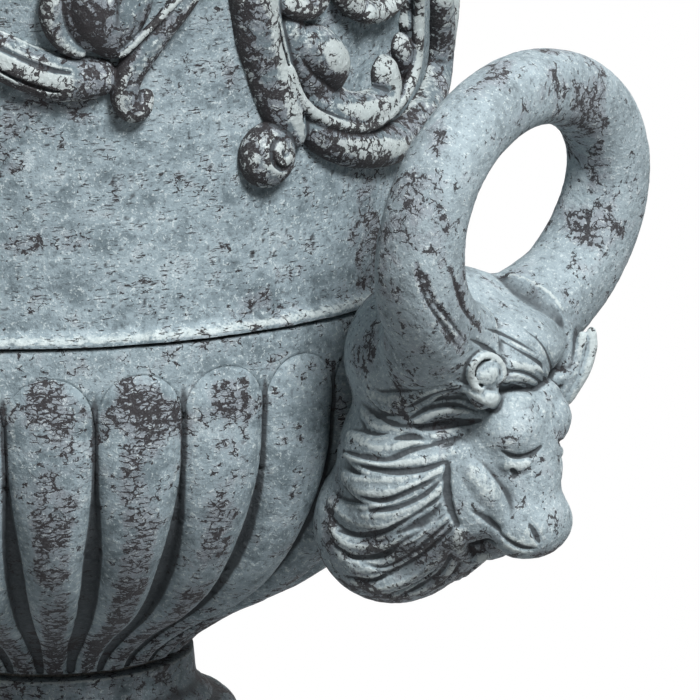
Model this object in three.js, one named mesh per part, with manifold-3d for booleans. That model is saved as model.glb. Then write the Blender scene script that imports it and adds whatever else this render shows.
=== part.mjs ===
// Garden urn planter. A bell-shaped upper body stands on a gadrooned bowl, a turned foot and a
// square plinth. Each side carries a lion mask with a ring handle that springs from its ears, and
// scroll ornaments are applied round the upper body.
// Millimetres, +Z up. The origin is the centre of the plinth's underside, the handles lie on X,
// and the front faces -Y.

import * as THREE from 'three';
import { mergeVertices } from 'three/addons/utils/BufferGeometryUtils.js';
import Module from 'manifold-3d';

const wasm = await Module();
wasm.setup();

// ---------------------------------------------------------------------------------------------
// Driving dimensions
// ---------------------------------------------------------------------------------------------

const GAP = 0.3; // clearance kept between neighbouring pieces
const JOINT = 2; // thickness of a bedding joint between two castings, gaps included

const PLINTH_WIDTH = 262;
const PLINTH_HEIGHT = 42;
const FOOT_TOP = 162; // underside of the bowl, where the foot's neck carries it
const SEAM = 369; // fillet line between the bowl and the upper body
const RIM_TOP = 278; // top of the rim above the seam

const LOBES = 28; // gadroons round the bowl
const LOBE_SIDES = 4; // facets across one gadroon
const BAND_RADIUS = 205.5; // plain band above the gadroons
const BODY_SIDES = 56;
const CAVITY_SIDES = 28;
const FOOT_SIDES = 24;

const CHANNEL_RADIUS = 22; // drain channel that the tie rod stands in
const ROD_RADIUS = 6;
const STUD_RADIUS = 5;
const DOWEL_RADIUS = 4;
const BOLT_HOLE = 0.9; // how much wider a plate's or nut's hole is than its rod or stud, on the radius

const HANDLE_REACH = 302; // ring handle's centre, out from the urn's axis
const HANDLE_RISE = 60; // ring handle's centre, above the seam
const HANDLE_HALF_WIDTH = 81;
const HANDLE_HALF_HEIGHT = 64;
const HANDLE_LEAN = THREE.MathUtils.degToRad(10.5);
const HANDLE_HOOK = 0.0008; // how fast the ring's ends draw back towards the urn, per mm
const HANDLE_TIP = THREE.MathUtils.degToRad(60); // where the ring ends, below its middle

// ---------------------------------------------------------------------------------------------
// Outlines: [radius, height above the seam] unless said otherwise
// ---------------------------------------------------------------------------------------------

/** A smooth curve through a few points, as rows of [radius, height]. */
function smooth(points, rows) {
  const curve = new THREE.SplineCurve(points.map(([x, y]) => new THREE.Vector2(x, y)));
  return curve.getPoints(rows).map((p) => [p.x, p.y]);
}

/** A round stretch of outline about a centre, between two angles in degrees. */
function arc(radius, height, size, from, to, rows) {
  return Array.from({ length: rows + 1 }, (_, i) => {
    const angle = THREE.MathUtils.degToRad(from + ((to - from) * i) / rows);
    return [radius + size * Math.cos(angle), height + size * Math.sin(angle)];
  });
}

const filletOutline = arc(203.5, 0.5, 5, -30, 60, 2);
const bellOutline = smooth(
  [[203.2, 6], [202.5, 34], [203.5, 75], [206.5, 115], [212, 150], [222, 188], [238, 220], [252, 237]],
  5,
);
const lipOutline = arc(257, 262, 15, -75, 80, 3);
const mouthOutline = smooth(
  [[243, RIM_TOP - 2], [231, 250], [214, 215], [196, 165], [188, 110], [187, -JOINT]],
  3,
);

// The bowl's ground between the gadroons, and the height of the gadroons over it.
const groundCurve = new THREE.SplineCurve([
  [-20, 204], [-45, 201], [-75, 195], [-100, 185], [-122, 170], [-145, 149],
  [-165, 124], [-182, 97], [-197, 76], [-207, 68],
].map(([z, r]) => new THREE.Vector2(z, r)));
const lobeTop = -19;
const lobeShoulder = -44;
const lobeHeight = [[-20, 6], [-45, 9], [-75, 13.5], [-100, 18], [-130, 24], [-160, 23], [-185, 14], [-207, 5]];
const lobeRows = [-20, -28, -50, -90, -126, -157, -184, -207];

/** Straight-line reading of a table of [place, value] rows that run downwards. */
function reading(table, place) {
  const next = Math.max(1, table.findIndex(([z]) => z <= place));
  const [[z0, v0], [z1, v1]] = [table[next - 1], table[next]];
  return v0 + ((v1 - v0) * (place - z0)) / (z1 - z0);
}

/** Radius of the bowl's ground at a height. */
function groundRadius(height) {
  const samples = groundCurve.getPoints(60);
  return reading(samples.map((p) => [p.x, p.y]), height);
}

/** Radius of the bowl at a height, at a place across a gadroon from -1 to 1. */
function bowlRadius(height, across) {
  const above = Math.max(0, (height - lobeShoulder) / (lobeTop - lobeShoulder));
  const swell = Math.sqrt(Math.max(0, 1 - across * across - above * above));
  return groundRadius(height) + reading(lobeHeight, height) * swell;
}

// ---------------------------------------------------------------------------------------------
// Solids
// ---------------------------------------------------------------------------------------------

/** A closed geometry with only positions, its faces turned outwards. */
function closed(geometry) {
  const bare = geometry.clone();
  bare.deleteAttribute('normal');
  bare.deleteAttribute('uv');
  const merged = mergeVertices(bare, 1e-4);
  const position = merged.getAttribute('position');
  const index = Array.from(merged.index.array);
  const [a, b, c] = [new THREE.Vector3(), new THREE.Vector3(), new THREE.Vector3()];
  const faces = [];
  let volume = 0;
  for (let i = 0; i < index.length; i += 3) {
    const [i0, i1, i2] = index.slice(i, i + 3);
    if (i0 === i1 || i1 === i2 || i2 === i0) continue;
    a.fromBufferAttribute(position, i0);
    b.fromBufferAttribute(position, i1);
    c.fromBufferAttribute(position, i2);
    volume += a.dot(b.cross(c));
    faces.push([i0, i1, i2]);
  }
  merged.setIndex(faces.map((f) => (volume < 0 ? [f[0], f[2], f[1]] : f)).flat());
  return merged;
}

/** A geometry as a solid that can be joined and cut. */
function solid(geometry) {
  const shape = closed(geometry);
  return new wasm.Manifold(new wasm.Mesh({
    numProp: 3,
    vertProperties: new Float32Array(shape.getAttribute('position').array),
    triVerts: new Uint32Array(shape.index.array),
  }));
}

/** A joined or cut solid as a geometry. */
function geometryOf(body) {
  const mesh = body.getMesh();
  const geometry = new THREE.BufferGeometry();
  geometry.setAttribute('position', new THREE.BufferAttribute(new Float32Array(mesh.vertProperties), 3));
  geometry.setIndex(Array.from(mesh.triVerts));
  return geometry;
}

/** The union of several solids. */
function join(solids) {
  return solids.reduce((all, one) => all.add(one));
}

/** A revolved solid about the upright axis, from an outline of [radius, world height]. */
function revolve(outline, sides) {
  const points = outline.map(([r, z]) => new THREE.Vector2(Math.max(r, 0), z));
  const geometry = new THREE.LatheGeometry(points, sides);
  // The lathe turns about Y and starts on +Z, so that its first corner ends up on +X.
  geometry.rotateX(Math.PI / 2);
  geometry.rotateZ(Math.PI / 2);
  return geometry;
}

/** The same outline raised by the seam's height. */
function raised(outline) {
  return outline.map(([r, z]) => [r, z + SEAM]);
}

/** A round bar along an axis between two points. */
function bar(from, to, radius, sides = 12) {
  const path = new THREE.LineCurve3(from, to);
  const section = new THREE.Shape().absarc(0, 0, radius, 0, Math.PI * 2);
  return new THREE.ExtrudeGeometry(section, { extrudePath: path, steps: 1, curveSegments: sides / 2 });
}

/** A flat ring or plate lying level, from its underside upwards. */
function plate(outline, holes, bottom, height, sides = 12) {
  outline.holes.push(...holes);
  const shape = { depth: height, bevelEnabled: false, curveSegments: sides / 2 };
  const geometry = new THREE.ExtrudeGeometry(outline, shape);
  geometry.translate(0, 0, bottom);
  return geometry;
}

/** A round path for an outline or a hole. */
function round(radius, x = 0, y = 0) {
  return new THREE.Shape().absarc(x, y, radius, 0, Math.PI * 2);
}

/** A hexagon given by its width across flats. */
function hexagon(width) {
  const reach = width / Math.sqrt(3);
  const corners = Array.from({ length: 6 }, (_, i) => {
    const angle = (i * Math.PI) / 3;
    return new THREE.Vector2(reach * Math.cos(angle), reach * Math.sin(angle));
  });
  return new THREE.Shape(corners);
}

/** A closed skin over rings of points, which all have the same count. */
function loft(rings) {
  const count = rings[0].length;
  const points = rings.flat();
  const index = [];
  for (let row = 0; row + 1 < rings.length; row += 1) {
    for (let i = 0; i < count; i += 1) {
      const [a, b] = [row * count + i, row * count + ((i + 1) % count)];
      index.push(a, b, b + count, a, b + count, a + count);
    }
  }
  for (const [row, turn] of [[0, false], [rings.length - 1, true]]) {
    const centre = new THREE.Vector3();
    rings[row].forEach((p) => centre.addScaledVector(p, 1 / count));
    const middle = points.push(centre) - 1;
    for (let i = 0; i < count; i += 1) {
      const [a, b] = [row * count + i, row * count + ((i + 1) % count)];
      index.push(...(turn ? [a, b, middle] : [b, a, middle]));
    }
  }
  const geometry = new THREE.BufferGeometry().setFromPoints(points);
  geometry.setIndex(index);
  return geometry;
}

/** A ring of points about a centre, spanned by two half axes. */
function section(centre, across, out, sides) {
  return Array.from({ length: sides }, (_, i) => {
    const angle = (i * 2 * Math.PI) / sides;
    return centre.clone().addScaledVector(across, Math.cos(angle)).addScaledVector(out, Math.sin(angle));
  });
}

// ---------------------------------------------------------------------------------------------
// Urn castings
// ---------------------------------------------------------------------------------------------

const bodyOutline = raised([
  [187, -JOINT],
  ...filletOutline,
  ...bellOutline,
  ...lipOutline,
  ...mouthOutline,
]);

/** Everything within the urn's outer face, swollen by a clearance, for seating what is applied. */
function urnEnvelope(clearance) {
  const bowl = [...lobeRows].reverse().map((z) => [bowlRadius(Math.min(z, lobeShoulder), 0) + clearance, z]);
  const upper = [...filletOutline, ...bellOutline].map(([r, z]) => [r + clearance, z]);
  return solid(revolve(raised([[0, -230], [70, -230], ...bowl, ...upper, [262, 250], [0, 250]]), BODY_SIDES));
}

function lobedBowl() {
  const around = LOBES * LOBE_SIDES;
  const rings = [-2 * JOINT, ...lobeRows].map((z) => Array.from({ length: around }, (_, i) => {
    const across = ((i % LOBE_SIDES) / LOBE_SIDES) * 2 - 1;
    const angle = ((i / LOBE_SIDES - 0.5) * 2 * Math.PI) / LOBES;
    const radius = z > lobeRows[0] ? BAND_RADIUS : bowlRadius(z, across);
    return new THREE.Vector3(radius * Math.cos(angle), radius * Math.sin(angle), z + SEAM);
  }));
  return solid(loft(rings));
}

const bowlFloor = -172;
const cavityOutline = [
  [0, bowlFloor],
  ...smooth([[92, bowlFloor], [132, -150], [163, -112], [178, -70], [184, -30], [185, 5]], 5),
  [0, 5],
];

/** Seats of the mask's two studs in the bowl's wall: height above the seam, and inner spot face. */
const studSeats = [
  { place: 'upper', height: -45, face: 184.5 },
  { place: 'lower', height: -88, face: 175.5 },
];
const studDepth = 62; // how far a stud reaches out past its spot face
const sides = [1, -1];

/** A bar along X on one side of the urn. */
function sideBar(side, height, from, to, radius, count) {
  const ends = [from, to].map((x) => new THREE.Vector3(side * x, 0, SEAM + height));
  return bar(ends[0], ends[1], radius, count);
}

function lowerBowl() {
  const cuts = [revolve(raised(cavityOutline), CAVITY_SIDES)];
  const channel = [new THREE.Vector3(0, 0, FOOT_TOP - 10), new THREE.Vector3(0, 0, SEAM)];
  cuts.push(bar(...channel, CHANNEL_RADIUS, 16));
  for (const side of sides) {
    for (const seat of studSeats) {
      cuts.push(sideBar(side, seat.height, 140, seat.face, 14));
      cuts.push(sideBar(side, seat.height, 140, 230, STUD_RADIUS + GAP));
    }
  }
  return geometryOf(cuts.reduce((body, cut) => body.subtract(solid(cut)), lobedBowl()));
}

const footOutline = [
  [CHANNEL_RADIUS, PLINTH_HEIGHT + JOINT],
  [121, PLINTH_HEIGHT + JOINT],
  ...arc(113, 56, 12, -50, 75, 3),
  [107, 68],
  [103, 73],
  ...smooth([[100, 73], [84, 84], [76, 96], [80, 108]], 3),
  [85, 108],
  ...arc(86, 120, 12, -65, 75, 4),
  ...smooth([[81, 137.5], [76, 143], [74, FOOT_TOP - JOINT]], 2),
  [CHANNEL_RADIUS, FOOT_TOP - JOINT],
  [CHANNEL_RADIUS, PLINTH_HEIGHT + JOINT],
];

const plateRecess = { radius: 46, depth: 15 };

function plinth() {
  const half = PLINTH_WIDTH / 2;
  const outline = [[0, 0], [half, 0], [half, 29], [half - 3, 31], [half - 4, 35], [half - 7, 39],
    [half - 8, PLINTH_HEIGHT], [0, PLINTH_HEIGHT]];
  const square = revolve(outline.map(([w, z]) => [w * Math.SQRT2, z]), 4);
  square.rotateZ(Math.PI / 4);
  const [low, mid, high] = [-1, plateRecess.depth, PLINTH_HEIGHT + 1].map((z) => new THREE.Vector3(0, 0, z));
  const channel = solid(bar(low, high, CHANNEL_RADIUS, 16));
  const recess = solid(bar(low, mid, plateRecess.radius, 24));
  return geometryOf(solid(square).subtract(channel).subtract(recess));
}

/** A bedding ring in the joint under a height. */
function beddingRing(inner, outer, top) {
  return plate(round(outer), [round(inner)], top - JOINT + GAP, JOINT - 2 * GAP, 16);
}

// ---------------------------------------------------------------------------------------------
// Ring handles
// ---------------------------------------------------------------------------------------------

/** A point on the ring handle's centreline, with the half axes of its section there. */
function handleStation(angle) {
  const height = HANDLE_HALF_HEIGHT * Math.sin(angle) * (angle < 0 || angle > Math.PI ? 1.08 : 1);
  const rise = (Math.sin(angle) + 1) / 2;
  const centre = new THREE.Vector3(
    HANDLE_REACH + height * Math.sin(HANDLE_LEAN) - HANDLE_HOOK * height * height,
    HANDLE_HALF_WIDTH * Math.cos(angle),
    SEAM + HANDLE_RISE + height * Math.cos(HANDLE_LEAN),
  );
  const slope = Math.sin(HANDLE_LEAN) - 2 * HANDLE_HOOK * height;
  const along = new THREE.Vector3(
    HANDLE_HALF_HEIGHT * Math.cos(angle) * slope,
    -HANDLE_HALF_WIDTH * Math.sin(angle),
    HANDLE_HALF_HEIGHT * Math.cos(angle) * Math.cos(HANDLE_LEAN),
  ).normalize();
  const outwards = new THREE.Vector3(Math.cos(HANDLE_LEAN), 0, -slope);
  outwards.addScaledVector(along, -outwards.dot(along)).normalize();
  const across = new THREE.Vector3().crossVectors(along, outwards);
  return { centre, along, across, outwards, halfWidth: 23.5 - 4.2 * rise, halfDepth: 24 - 6 * rise };
}

/** The ring handle, swollen by a clearance for its socket. */
function ringHandle(swell = 0, steps = 20, count = 8) {
  const rings = Array.from({ length: steps + 1 }, (_, i) => {
    const angle = -HANDLE_TIP + ((Math.PI + 2 * HANDLE_TIP) * i) / steps;
    const s = handleStation(angle);
    const end = i === 0 ? -swell : i === steps ? swell : 0;
    s.centre.addScaledVector(s.along, end);
    return section(s.centre, s.across.multiplyScalar(s.halfWidth + swell),
      s.outwards.multiplyScalar(s.halfDepth + swell), count);
  });
  return solid(loft(rings));
}

/** The two ends of the ring, as a dowel's start and direction. */
function ringEnds() {
  return [-HANDLE_TIP, Math.PI + HANDLE_TIP].map((angle, i) => {
    const s = handleStation(angle);
    return { start: s.centre, into: s.along.multiplyScalar(i === 0 ? 1 : -1) };
  });
}

/** A dowel that runs from inside the ring's end into the mask. */
function dowel(end, reach, radius) {
  const from = end.start.clone().addScaledVector(end.into, reach);
  const to = end.start.clone().addScaledVector(end.into, -reach);
  return bar(from, to, radius, 8);
}

// ---------------------------------------------------------------------------------------------
// Lion masks
// ---------------------------------------------------------------------------------------------

/** Swellings of the head: centre [out, aside, height above the seam] and half sizes. */
const headForms = [
  { at: [256, 0, -19], size: [49, 55, 46] }, // skull
  { at: [288, 0, -12], size: [32, 45, 23] }, // hair over the forehead
  { at: [250, 0, -76], size: [49, 57, 57] }, // mane
  { at: [236, 0, -112], size: [40, 43, 41] }, // beard of the mane
  { at: [286, 0, -68], size: [31, 34, 44] }, // face
  { at: [306, 12.5, -48.5], size: [15, 17, 15.5], pair: true }, // brows
  { at: [310, 0, -84], size: [12, 13, 27] }, // bridge of the nose
  { at: [308, 10, -99], size: [15, 15, 16], pair: true }, // muzzle
  { at: [282, 0, -111], size: [14, 16, 10] }, // chin
  { at: [284, 27, -82], size: [21, 14, 27], pair: true }, // cheeks
  { at: [281, 50, -8], size: [27, 27, 26], pair: true }, // hair that grips the ring's ends
  { at: [309, 46, -12], size: [8, 9, 12], pair: true }, // ears
];
const headCentre = new THREE.Vector3(256, 0, -62);
const softness = 7; // radius over which two swellings blend

/** Rough distance from a point to a swelling, negative inside it. */
function formDistance(point, at, size) {
  const scaled = new THREE.Vector3(
    (point.x - at[0]) / size[0], (point.y - at[1]) / size[1], (point.z - at[2]) / size[2],
  );
  const length = scaled.length();
  const slope = new THREE.Vector3(scaled.x / size[0], scaled.y / size[1], scaled.z / size[2]).length();
  return (length * (length - 1)) / Math.max(slope, 1e-6);
}

/** Distance to the blended head. */
function headDistance(point) {
  let nearest = Infinity;
  for (const { at, size, pair } of headForms) {
    for (const side of pair ? sides : [1]) {
      const one = formDistance(point, [at[0], at[1] * side, at[2]], size);
      const mix = Math.max(softness - Math.abs(nearest - one), 0) / softness;
      nearest = Math.min(nearest, one) - (mix * mix * softness) / 4;
    }
  }
  return nearest;
}

/** Ridges of the mane: locks that fan out round the face and sweep back to the urn. */
function lockHeight(point, turn) {
  const back = THREE.MathUtils.smoothstep(300 - point.x, 0, 18);
  const sweep = (300 - point.x) * 0.012;
  return 4 * back * (Math.abs(Math.sin(6 * turn + sweep * Math.sign(Math.sin(turn)))) - 0.4);
}

/** The head as rings round the outward direction, from the nose to the back. */
function headSolid() {
  const polar = [5, 15, 24, 33, 42, 51, 61, 71, 82, 95, 110, 130, 160];
  const around = 32;
  const direction = new THREE.Vector3();
  const rings = polar.map((degrees) => Array.from({ length: around }, (_, i) => {
    const tilt = THREE.MathUtils.degToRad(degrees);
    const turn = ((i + 0.5) * 2 * Math.PI) / around;
    direction.set(Math.cos(tilt), Math.sin(tilt) * Math.sin(turn), Math.sin(tilt) * Math.cos(turn));
    let reach = 150;
    const point = new THREE.Vector3();
    for (let step = 0; step < 80; step += 1) {
      const distance = headDistance(point.copy(headCentre).addScaledVector(direction, reach));
      if (distance < 0.05) break;
      reach -= Math.max(0.2, distance * 0.7);
    }
    reach += lockHeight(point, turn);
    return point.copy(headCentre).addScaledVector(direction, reach).add(new THREE.Vector3(0, 0, SEAM));
  }));
  return solid(loft(rings));
}

function lionMask() {
  const cuts = [urnEnvelope(GAP + 0.2), ringHandle(GAP)];
  for (const end of ringEnds()) cuts.push(solid(dowel(end, 17, DOWEL_RADIUS + GAP)));
  for (const seat of studSeats) {
    cuts.push(solid(sideBar(1, seat.height, 150, seat.face + studDepth + 2, STUD_RADIUS + GAP)));
  }
  return cuts.reduce((head, cut) => head.subtract(cut), headSolid());
}

function ringHandleSolid() {
  const holes = ringEnds().map((end) => solid(dowel(end, 17, DOWEL_RADIUS + GAP)));
  return holes.reduce((ring, hole) => ring.subtract(hole), ringHandle());
}

// ---------------------------------------------------------------------------------------------
// Scroll ornaments on the upper body
// ---------------------------------------------------------------------------------------------

/** Radius of the upper body's face at a height above the seam. */
function bodyRadius(height) {
  const table = bellOutline.map(([r, z]) => [z, r]).reverse();
  return reading(table, Math.min(Math.max(height, 6), 236));
}

/** A place on the upper body: azimuth in degrees, height above the seam, and lift off the face. */
function onBody(azimuth, height, lift = 0) {
  const angle = THREE.MathUtils.degToRad(azimuth);
  const radius = bodyRadius(height) + lift;
  return new THREE.Vector3(radius * Math.cos(angle), radius * Math.sin(angle), height + SEAM);
}

/** A raised roll along places on the body, whose half width and relief may change along it. */
function roll(places, halfWidths, reliefs, steps, count = 6) {
  const path = new THREE.CatmullRomCurve3(places.map(([azimuth, height]) => onBody(azimuth, height)));
  const widths = new THREE.SplineCurve(halfWidths.map((w, i) => new THREE.Vector2(i, w)));
  const heights = new THREE.SplineCurve(reliefs.map((h, i) => new THREE.Vector2(i, h)));
  const rings = Array.from({ length: steps + 1 }, (_, i) => {
    const t = i / steps;
    const centre = path.getPoint(t);
    const out = new THREE.Vector3(centre.x, centre.y, 0).normalize();
    const across = new THREE.Vector3().crossVectors(path.getTangent(t), out).normalize();
    return section(centre, across.multiplyScalar(widths.getPoint(t).y),
      out.multiplyScalar(heights.getPoint(t).y), count);
  });
  return solid(loft(rings));
}

/** A domed boss or petal on the body. */
function boss(azimuth, height, halfWidth, halfHeight, relief, lean = 0) {
  const geometry = new THREE.SphereGeometry(1, 8, 5);
  geometry.scale(relief, halfWidth, halfHeight);
  geometry.rotateX(THREE.MathUtils.degToRad(lean));
  geometry.rotateZ(THREE.MathUtils.degToRad(azimuth));
  const centre = onBody(azimuth, height);
  geometry.translate(centre.x, centre.y, centre.z);
  return solid(geometry);
}

/** Right half of the wide ornament: azimuth counted from the urn's front. */
function frontForms() {
  return [
    roll([[48.5, 136.5], [41, 136], [36, 143], [30, 154], [24, 172], [20, 190], [11, 199], [-2, 196]],
      [9, 11, 11, 11, 9, 8, 7, 8], [7, 11, 11, 10, 9, 8, 8, 8], 9), // great C-scroll
    roll([[63, 186], [59.5, 172], [56, 160], [52.5, 148], [50, 137], [50, 127], [51.5, 119], [54, 121]],
      [6, 7, 7, 7, 6, 6, 6, 4], [5, 8, 9, 10, 10, 9, 9, 5], 8), // stem with the curled tip
    boss(48, 157, 22, 21, 13, -25), // great petal
    roll([[0, 140], [0, 156], [0, 176], [0, 194]], [7, 16, 15, 8], [6, 10, 10, 8], 4), // palmette
  ];
}

/** The ornament over a handle: azimuth counted from the handle's own direction. */
function handleForms() {
  return [
    roll([[-21, 186], [-20.4, 168], [-19.7, 152], [-18, 136], [-16.2, 120], [-14.6, 106], [-13.6, 92]],
      [12, 12, 11, 11, 11, 11, 9], [9, 9, 9, 10, 10, 10, 9], 5), // stem
    boss(-18, 88, 17, 17, 14), // volute at the stem's end
    roll([[-13, 118], [-11.5, 101], [-7, 90], [-1.5, 84], [4, 82], [12, 82], [19.5, 89], [24, 104],
      [25.5, 124], [25.5, 148], [23, 172], [18, 188]],
      [6, 9, 10, 10, 10, 10, 10, 9, 8, 8, 8, 7], [7, 10, 10, 11, 11, 11, 11, 11, 10, 9, 9, 8], 13), // C-scroll
    boss(-10.2, 134, 15, 19, 10, 12), // petal by the stem
    boss(3.6, 104, 14, 21, 11, 20), // first petal of the shell
    roll([[28, 144], [31, 126], [32, 110], [30.5, 96], [26.5, 86]],
      [5, 7, 8, 7, 5], [7, 10, 11, 9, 6], 5), // scroll beyond the C
  ];
}

const seatCutter = urnEnvelope(GAP);

/** Forms joined into one applied ornament and seated on the body, turned to its azimuth. */
function ornament(forms, azimuth) {
  const turned = join(forms).rotate([0, 0, azimuth]);
  return geometryOf(turned.subtract(seatCutter));
}

function frontOrnament(azimuth) {
  const half = join(frontForms());
  return ornament([half, half.mirror([0, 1, 0])], azimuth);
}

// ---------------------------------------------------------------------------------------------
// Metal fittings
// ---------------------------------------------------------------------------------------------

const plateThickness = 5;
const nutHeight = 8.5;
const upperPlateBottom = SEAM + bowlFloor + GAP;
const lowerPlateBottom = plateRecess.depth - GAP - plateThickness;

/** A perforated disc that clamps the channel's end and lets water through. */
function drainPlate(bottom) {
  const holes = Array.from({ length: 6 }, (_, i) => {
    const angle = (i * Math.PI) / 3;
    return round(3.6, 15.5 * Math.cos(angle), 15.5 * Math.sin(angle));
  });
  return plate(round(36), [round(ROD_RADIUS + BOLT_HOLE), ...holes], bottom, plateThickness, 8);
}

function rodNut(bottom) {
  return plate(hexagon(18), [round(ROD_RADIUS + BOLT_HOLE)], bottom, nutHeight, 8);
}

/** A ring or nut on a stud inside the bowl, between two distances out from the axis. */
function onStud(shape, height, from, to) {
  const geometry = plate(shape, [round(STUD_RADIUS + BOLT_HOLE)], from, to - from, 8);
  geometry.rotateY(Math.PI / 2);
  return geometry.translate(0, 0, SEAM + height);
}

const washerThickness = 2.5;
const studNutHeight = 8;

// ---------------------------------------------------------------------------------------------
// Materials and assembly
// ---------------------------------------------------------------------------------------------

function finish(color, roughness, metalness) {
  return () => new THREE.MeshStandardMaterial({ color, roughness, metalness });
}

const agedLead = finish(0x8a99a0, 0.85, 0);
const bedding = finish(0x6d6a63, 0.95, 0);
const zincSteel = finish(0xa3a6a8, 0.45, 1);

const urn = new THREE.Group();

function add(parent, name, geometry, material) {
  const mesh = new THREE.Mesh(geometry, material());
  mesh.name = name;
  mesh.geometry.computeVertexNormals();
  parent.add(mesh);
}

add(urn, 'upper_body', closed(revolve(bodyOutline, BODY_SIDES)), agedLead);
add(urn, 'lower_bowl', lowerBowl(), agedLead);
add(urn, 'foot', closed(revolve(footOutline, FOOT_SIDES)), agedLead);
add(urn, 'plinth', plinth(), agedLead);

add(urn, 'front_scrolls', frontOrnament(-90), agedLead);
add(urn, 'back_scrolls', frontOrnament(90), agedLead);

const mask = geometryOf(lionMask());
const ring = geometryOf(ringHandleSolid());
for (const [name, turn] of [['right', 0], ['left', 180]]) {
  const sideGroup = new THREE.Group();
  sideGroup.rotation.z = THREE.MathUtils.degToRad(turn);
  add(sideGroup, `lion_mask_${name}`, mask.clone(), agedLead);
  add(sideGroup, `ring_handle_${name}`, ring.clone(), agedLead);
  add(sideGroup, `handle_scrolls_${name}`, ornament(handleForms(), 0), agedLead);
  ringEnds().forEach((end, i) => {
    const place = i === 0 ? 'near' : 'far';
    add(sideGroup, `ring_dowel_${name}_${place}`, closed(dowel(end, 15, DOWEL_RADIUS)), zincSteel);
  });
  for (const { place, height, face } of studSeats) {
    const [washerOuter, nutOuter] = [face - GAP, face - 2 * GAP - washerThickness];
    const stud = sideBar(1, height, face - 20, face + studDepth, STUD_RADIUS);
    const washer = onStud(round(11), height, washerOuter - washerThickness, washerOuter);
    const nut = onStud(hexagon(16), height, nutOuter - studNutHeight, nutOuter);
    add(sideGroup, `mask_stud_${name}_${place}`, closed(stud), zincSteel);
    add(sideGroup, `mask_washer_${name}_${place}`, closed(washer), zincSteel);
    add(sideGroup, `mask_nut_${name}_${place}`, closed(nut), zincSteel);
  }
  urn.add(sideGroup);
}

add(urn, 'body_bedding_ring', closed(beddingRing(189, 201, SEAM - JOINT)), bedding);
add(urn, 'foot_bedding_ring', closed(beddingRing(26, 66, FOOT_TOP)), bedding);
add(urn, 'plinth_bedding_ring', closed(beddingRing(26, 108, PLINTH_HEIGHT + JOINT)), bedding);

const rodTop = upperPlateBottom + plateThickness + GAP + nutHeight + 8;
const rodEnds = [new THREE.Vector3(0, 0, 0.8), new THREE.Vector3(0, 0, rodTop)];
add(urn, 'tie_rod', closed(bar(...rodEnds, ROD_RADIUS)), zincSteel);
add(urn, 'upper_drain_plate', closed(drainPlate(upperPlateBottom)), zincSteel);
add(urn, 'lower_drain_plate', closed(drainPlate(lowerPlateBottom)), zincSteel);
add(urn, 'upper_rod_nut', closed(rodNut(upperPlateBottom + plateThickness + GAP)), zincSteel);
add(urn, 'lower_rod_nut', closed(rodNut(lowerPlateBottom - GAP - nutHeight)), zincSteel);

export default urn;
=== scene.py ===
# Garden urn planter: the finished look of its castings, over the frame of its construction.
# Shapes are written in millimetres, with heights counted from the fillet line (the seam) unless
# said otherwise, and turned into metres when a mesh is made. Azimuths are in degrees from +X.

import math

import bpy
import numpy as np
import openvdb as vdb
from mathutils import Matrix, Vector
from mathutils.kdtree import KDTree

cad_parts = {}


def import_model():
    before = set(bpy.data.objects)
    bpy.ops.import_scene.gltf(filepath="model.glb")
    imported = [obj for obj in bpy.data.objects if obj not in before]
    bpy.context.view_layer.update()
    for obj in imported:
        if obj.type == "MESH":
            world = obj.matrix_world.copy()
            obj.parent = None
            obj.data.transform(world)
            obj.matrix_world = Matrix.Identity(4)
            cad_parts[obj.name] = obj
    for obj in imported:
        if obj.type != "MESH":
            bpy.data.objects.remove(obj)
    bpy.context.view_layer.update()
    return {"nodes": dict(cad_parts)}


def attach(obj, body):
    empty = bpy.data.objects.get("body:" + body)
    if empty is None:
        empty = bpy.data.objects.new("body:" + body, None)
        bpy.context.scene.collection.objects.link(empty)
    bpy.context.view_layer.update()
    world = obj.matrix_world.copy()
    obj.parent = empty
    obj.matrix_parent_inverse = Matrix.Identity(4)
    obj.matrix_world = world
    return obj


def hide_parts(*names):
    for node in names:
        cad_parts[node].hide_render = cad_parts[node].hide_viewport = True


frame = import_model()

MM = 0.001
SEAM = 369.0            # fillet line above the floor
JOINT = 2.0             # bedding joint between two castings
BED = -1.5 * JOINT      # top of the bowl, where the bed lies on it
RIM_TOP = 278.0
LOBES = 28
FAR = 30.0              # a distance that counts as far from any form

rad = math.radians


# ---- Numbers ----

def catmull(points, rows):
    """A smooth curve through the points, with the same number of rows between each two."""
    p = np.asarray(points, float)
    p = np.vstack([2 * p[0] - p[1], p, 2 * p[-1] - p[-2]])
    t = np.linspace(0, 1, rows, endpoint=False)[:, None]
    out = []
    for a, b, c, d in zip(p[:-3], p[1:-2], p[2:-1], p[3:]):
        out.append(0.5 * (2 * b + (c - a) * t + (2 * a - 5 * b + 4 * c - d) * t ** 2
                          + (3 * b - a - 3 * c + d) * t ** 3))
    out.append(p[-2][None])
    return np.vstack(out)


def even(curve, step):
    """The same curve with its points a fixed distance apart."""
    d = np.r_[0, np.cumsum(np.linalg.norm(np.diff(curve, axis=0), axis=1))]
    s = np.linspace(0, d[-1], max(2, int(round(d[-1] / step)) + 1))
    return np.stack([np.interp(s, d, curve[:, k]) for k in range(curve.shape[1])], -1)


def arc(r, z, size, start, end, count):
    """A round stretch of outline about (r, z)."""
    a = np.radians(np.linspace(start, end, count))
    return np.stack([r + size * np.cos(a), z + size * np.sin(a)], -1)


def smoothstep(x, a, b):
    t = np.clip((x - a) / (b - a), 0, 1)
    return t * t * (3 - 2 * t)


def between(values, steps, rest):
    """Reading of a lattice that repeats, between its points: whole steps, and the rest of one."""
    total = 0
    for corner in np.ndindex(2, 2, 2):
        i = (steps + corner) % values.shape
        weight = np.prod(np.where(corner, rest, 1 - rest), axis=-1)
        total = total + weight * values[i[..., 0], i[..., 1], i[..., 2]]
    return total


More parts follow.
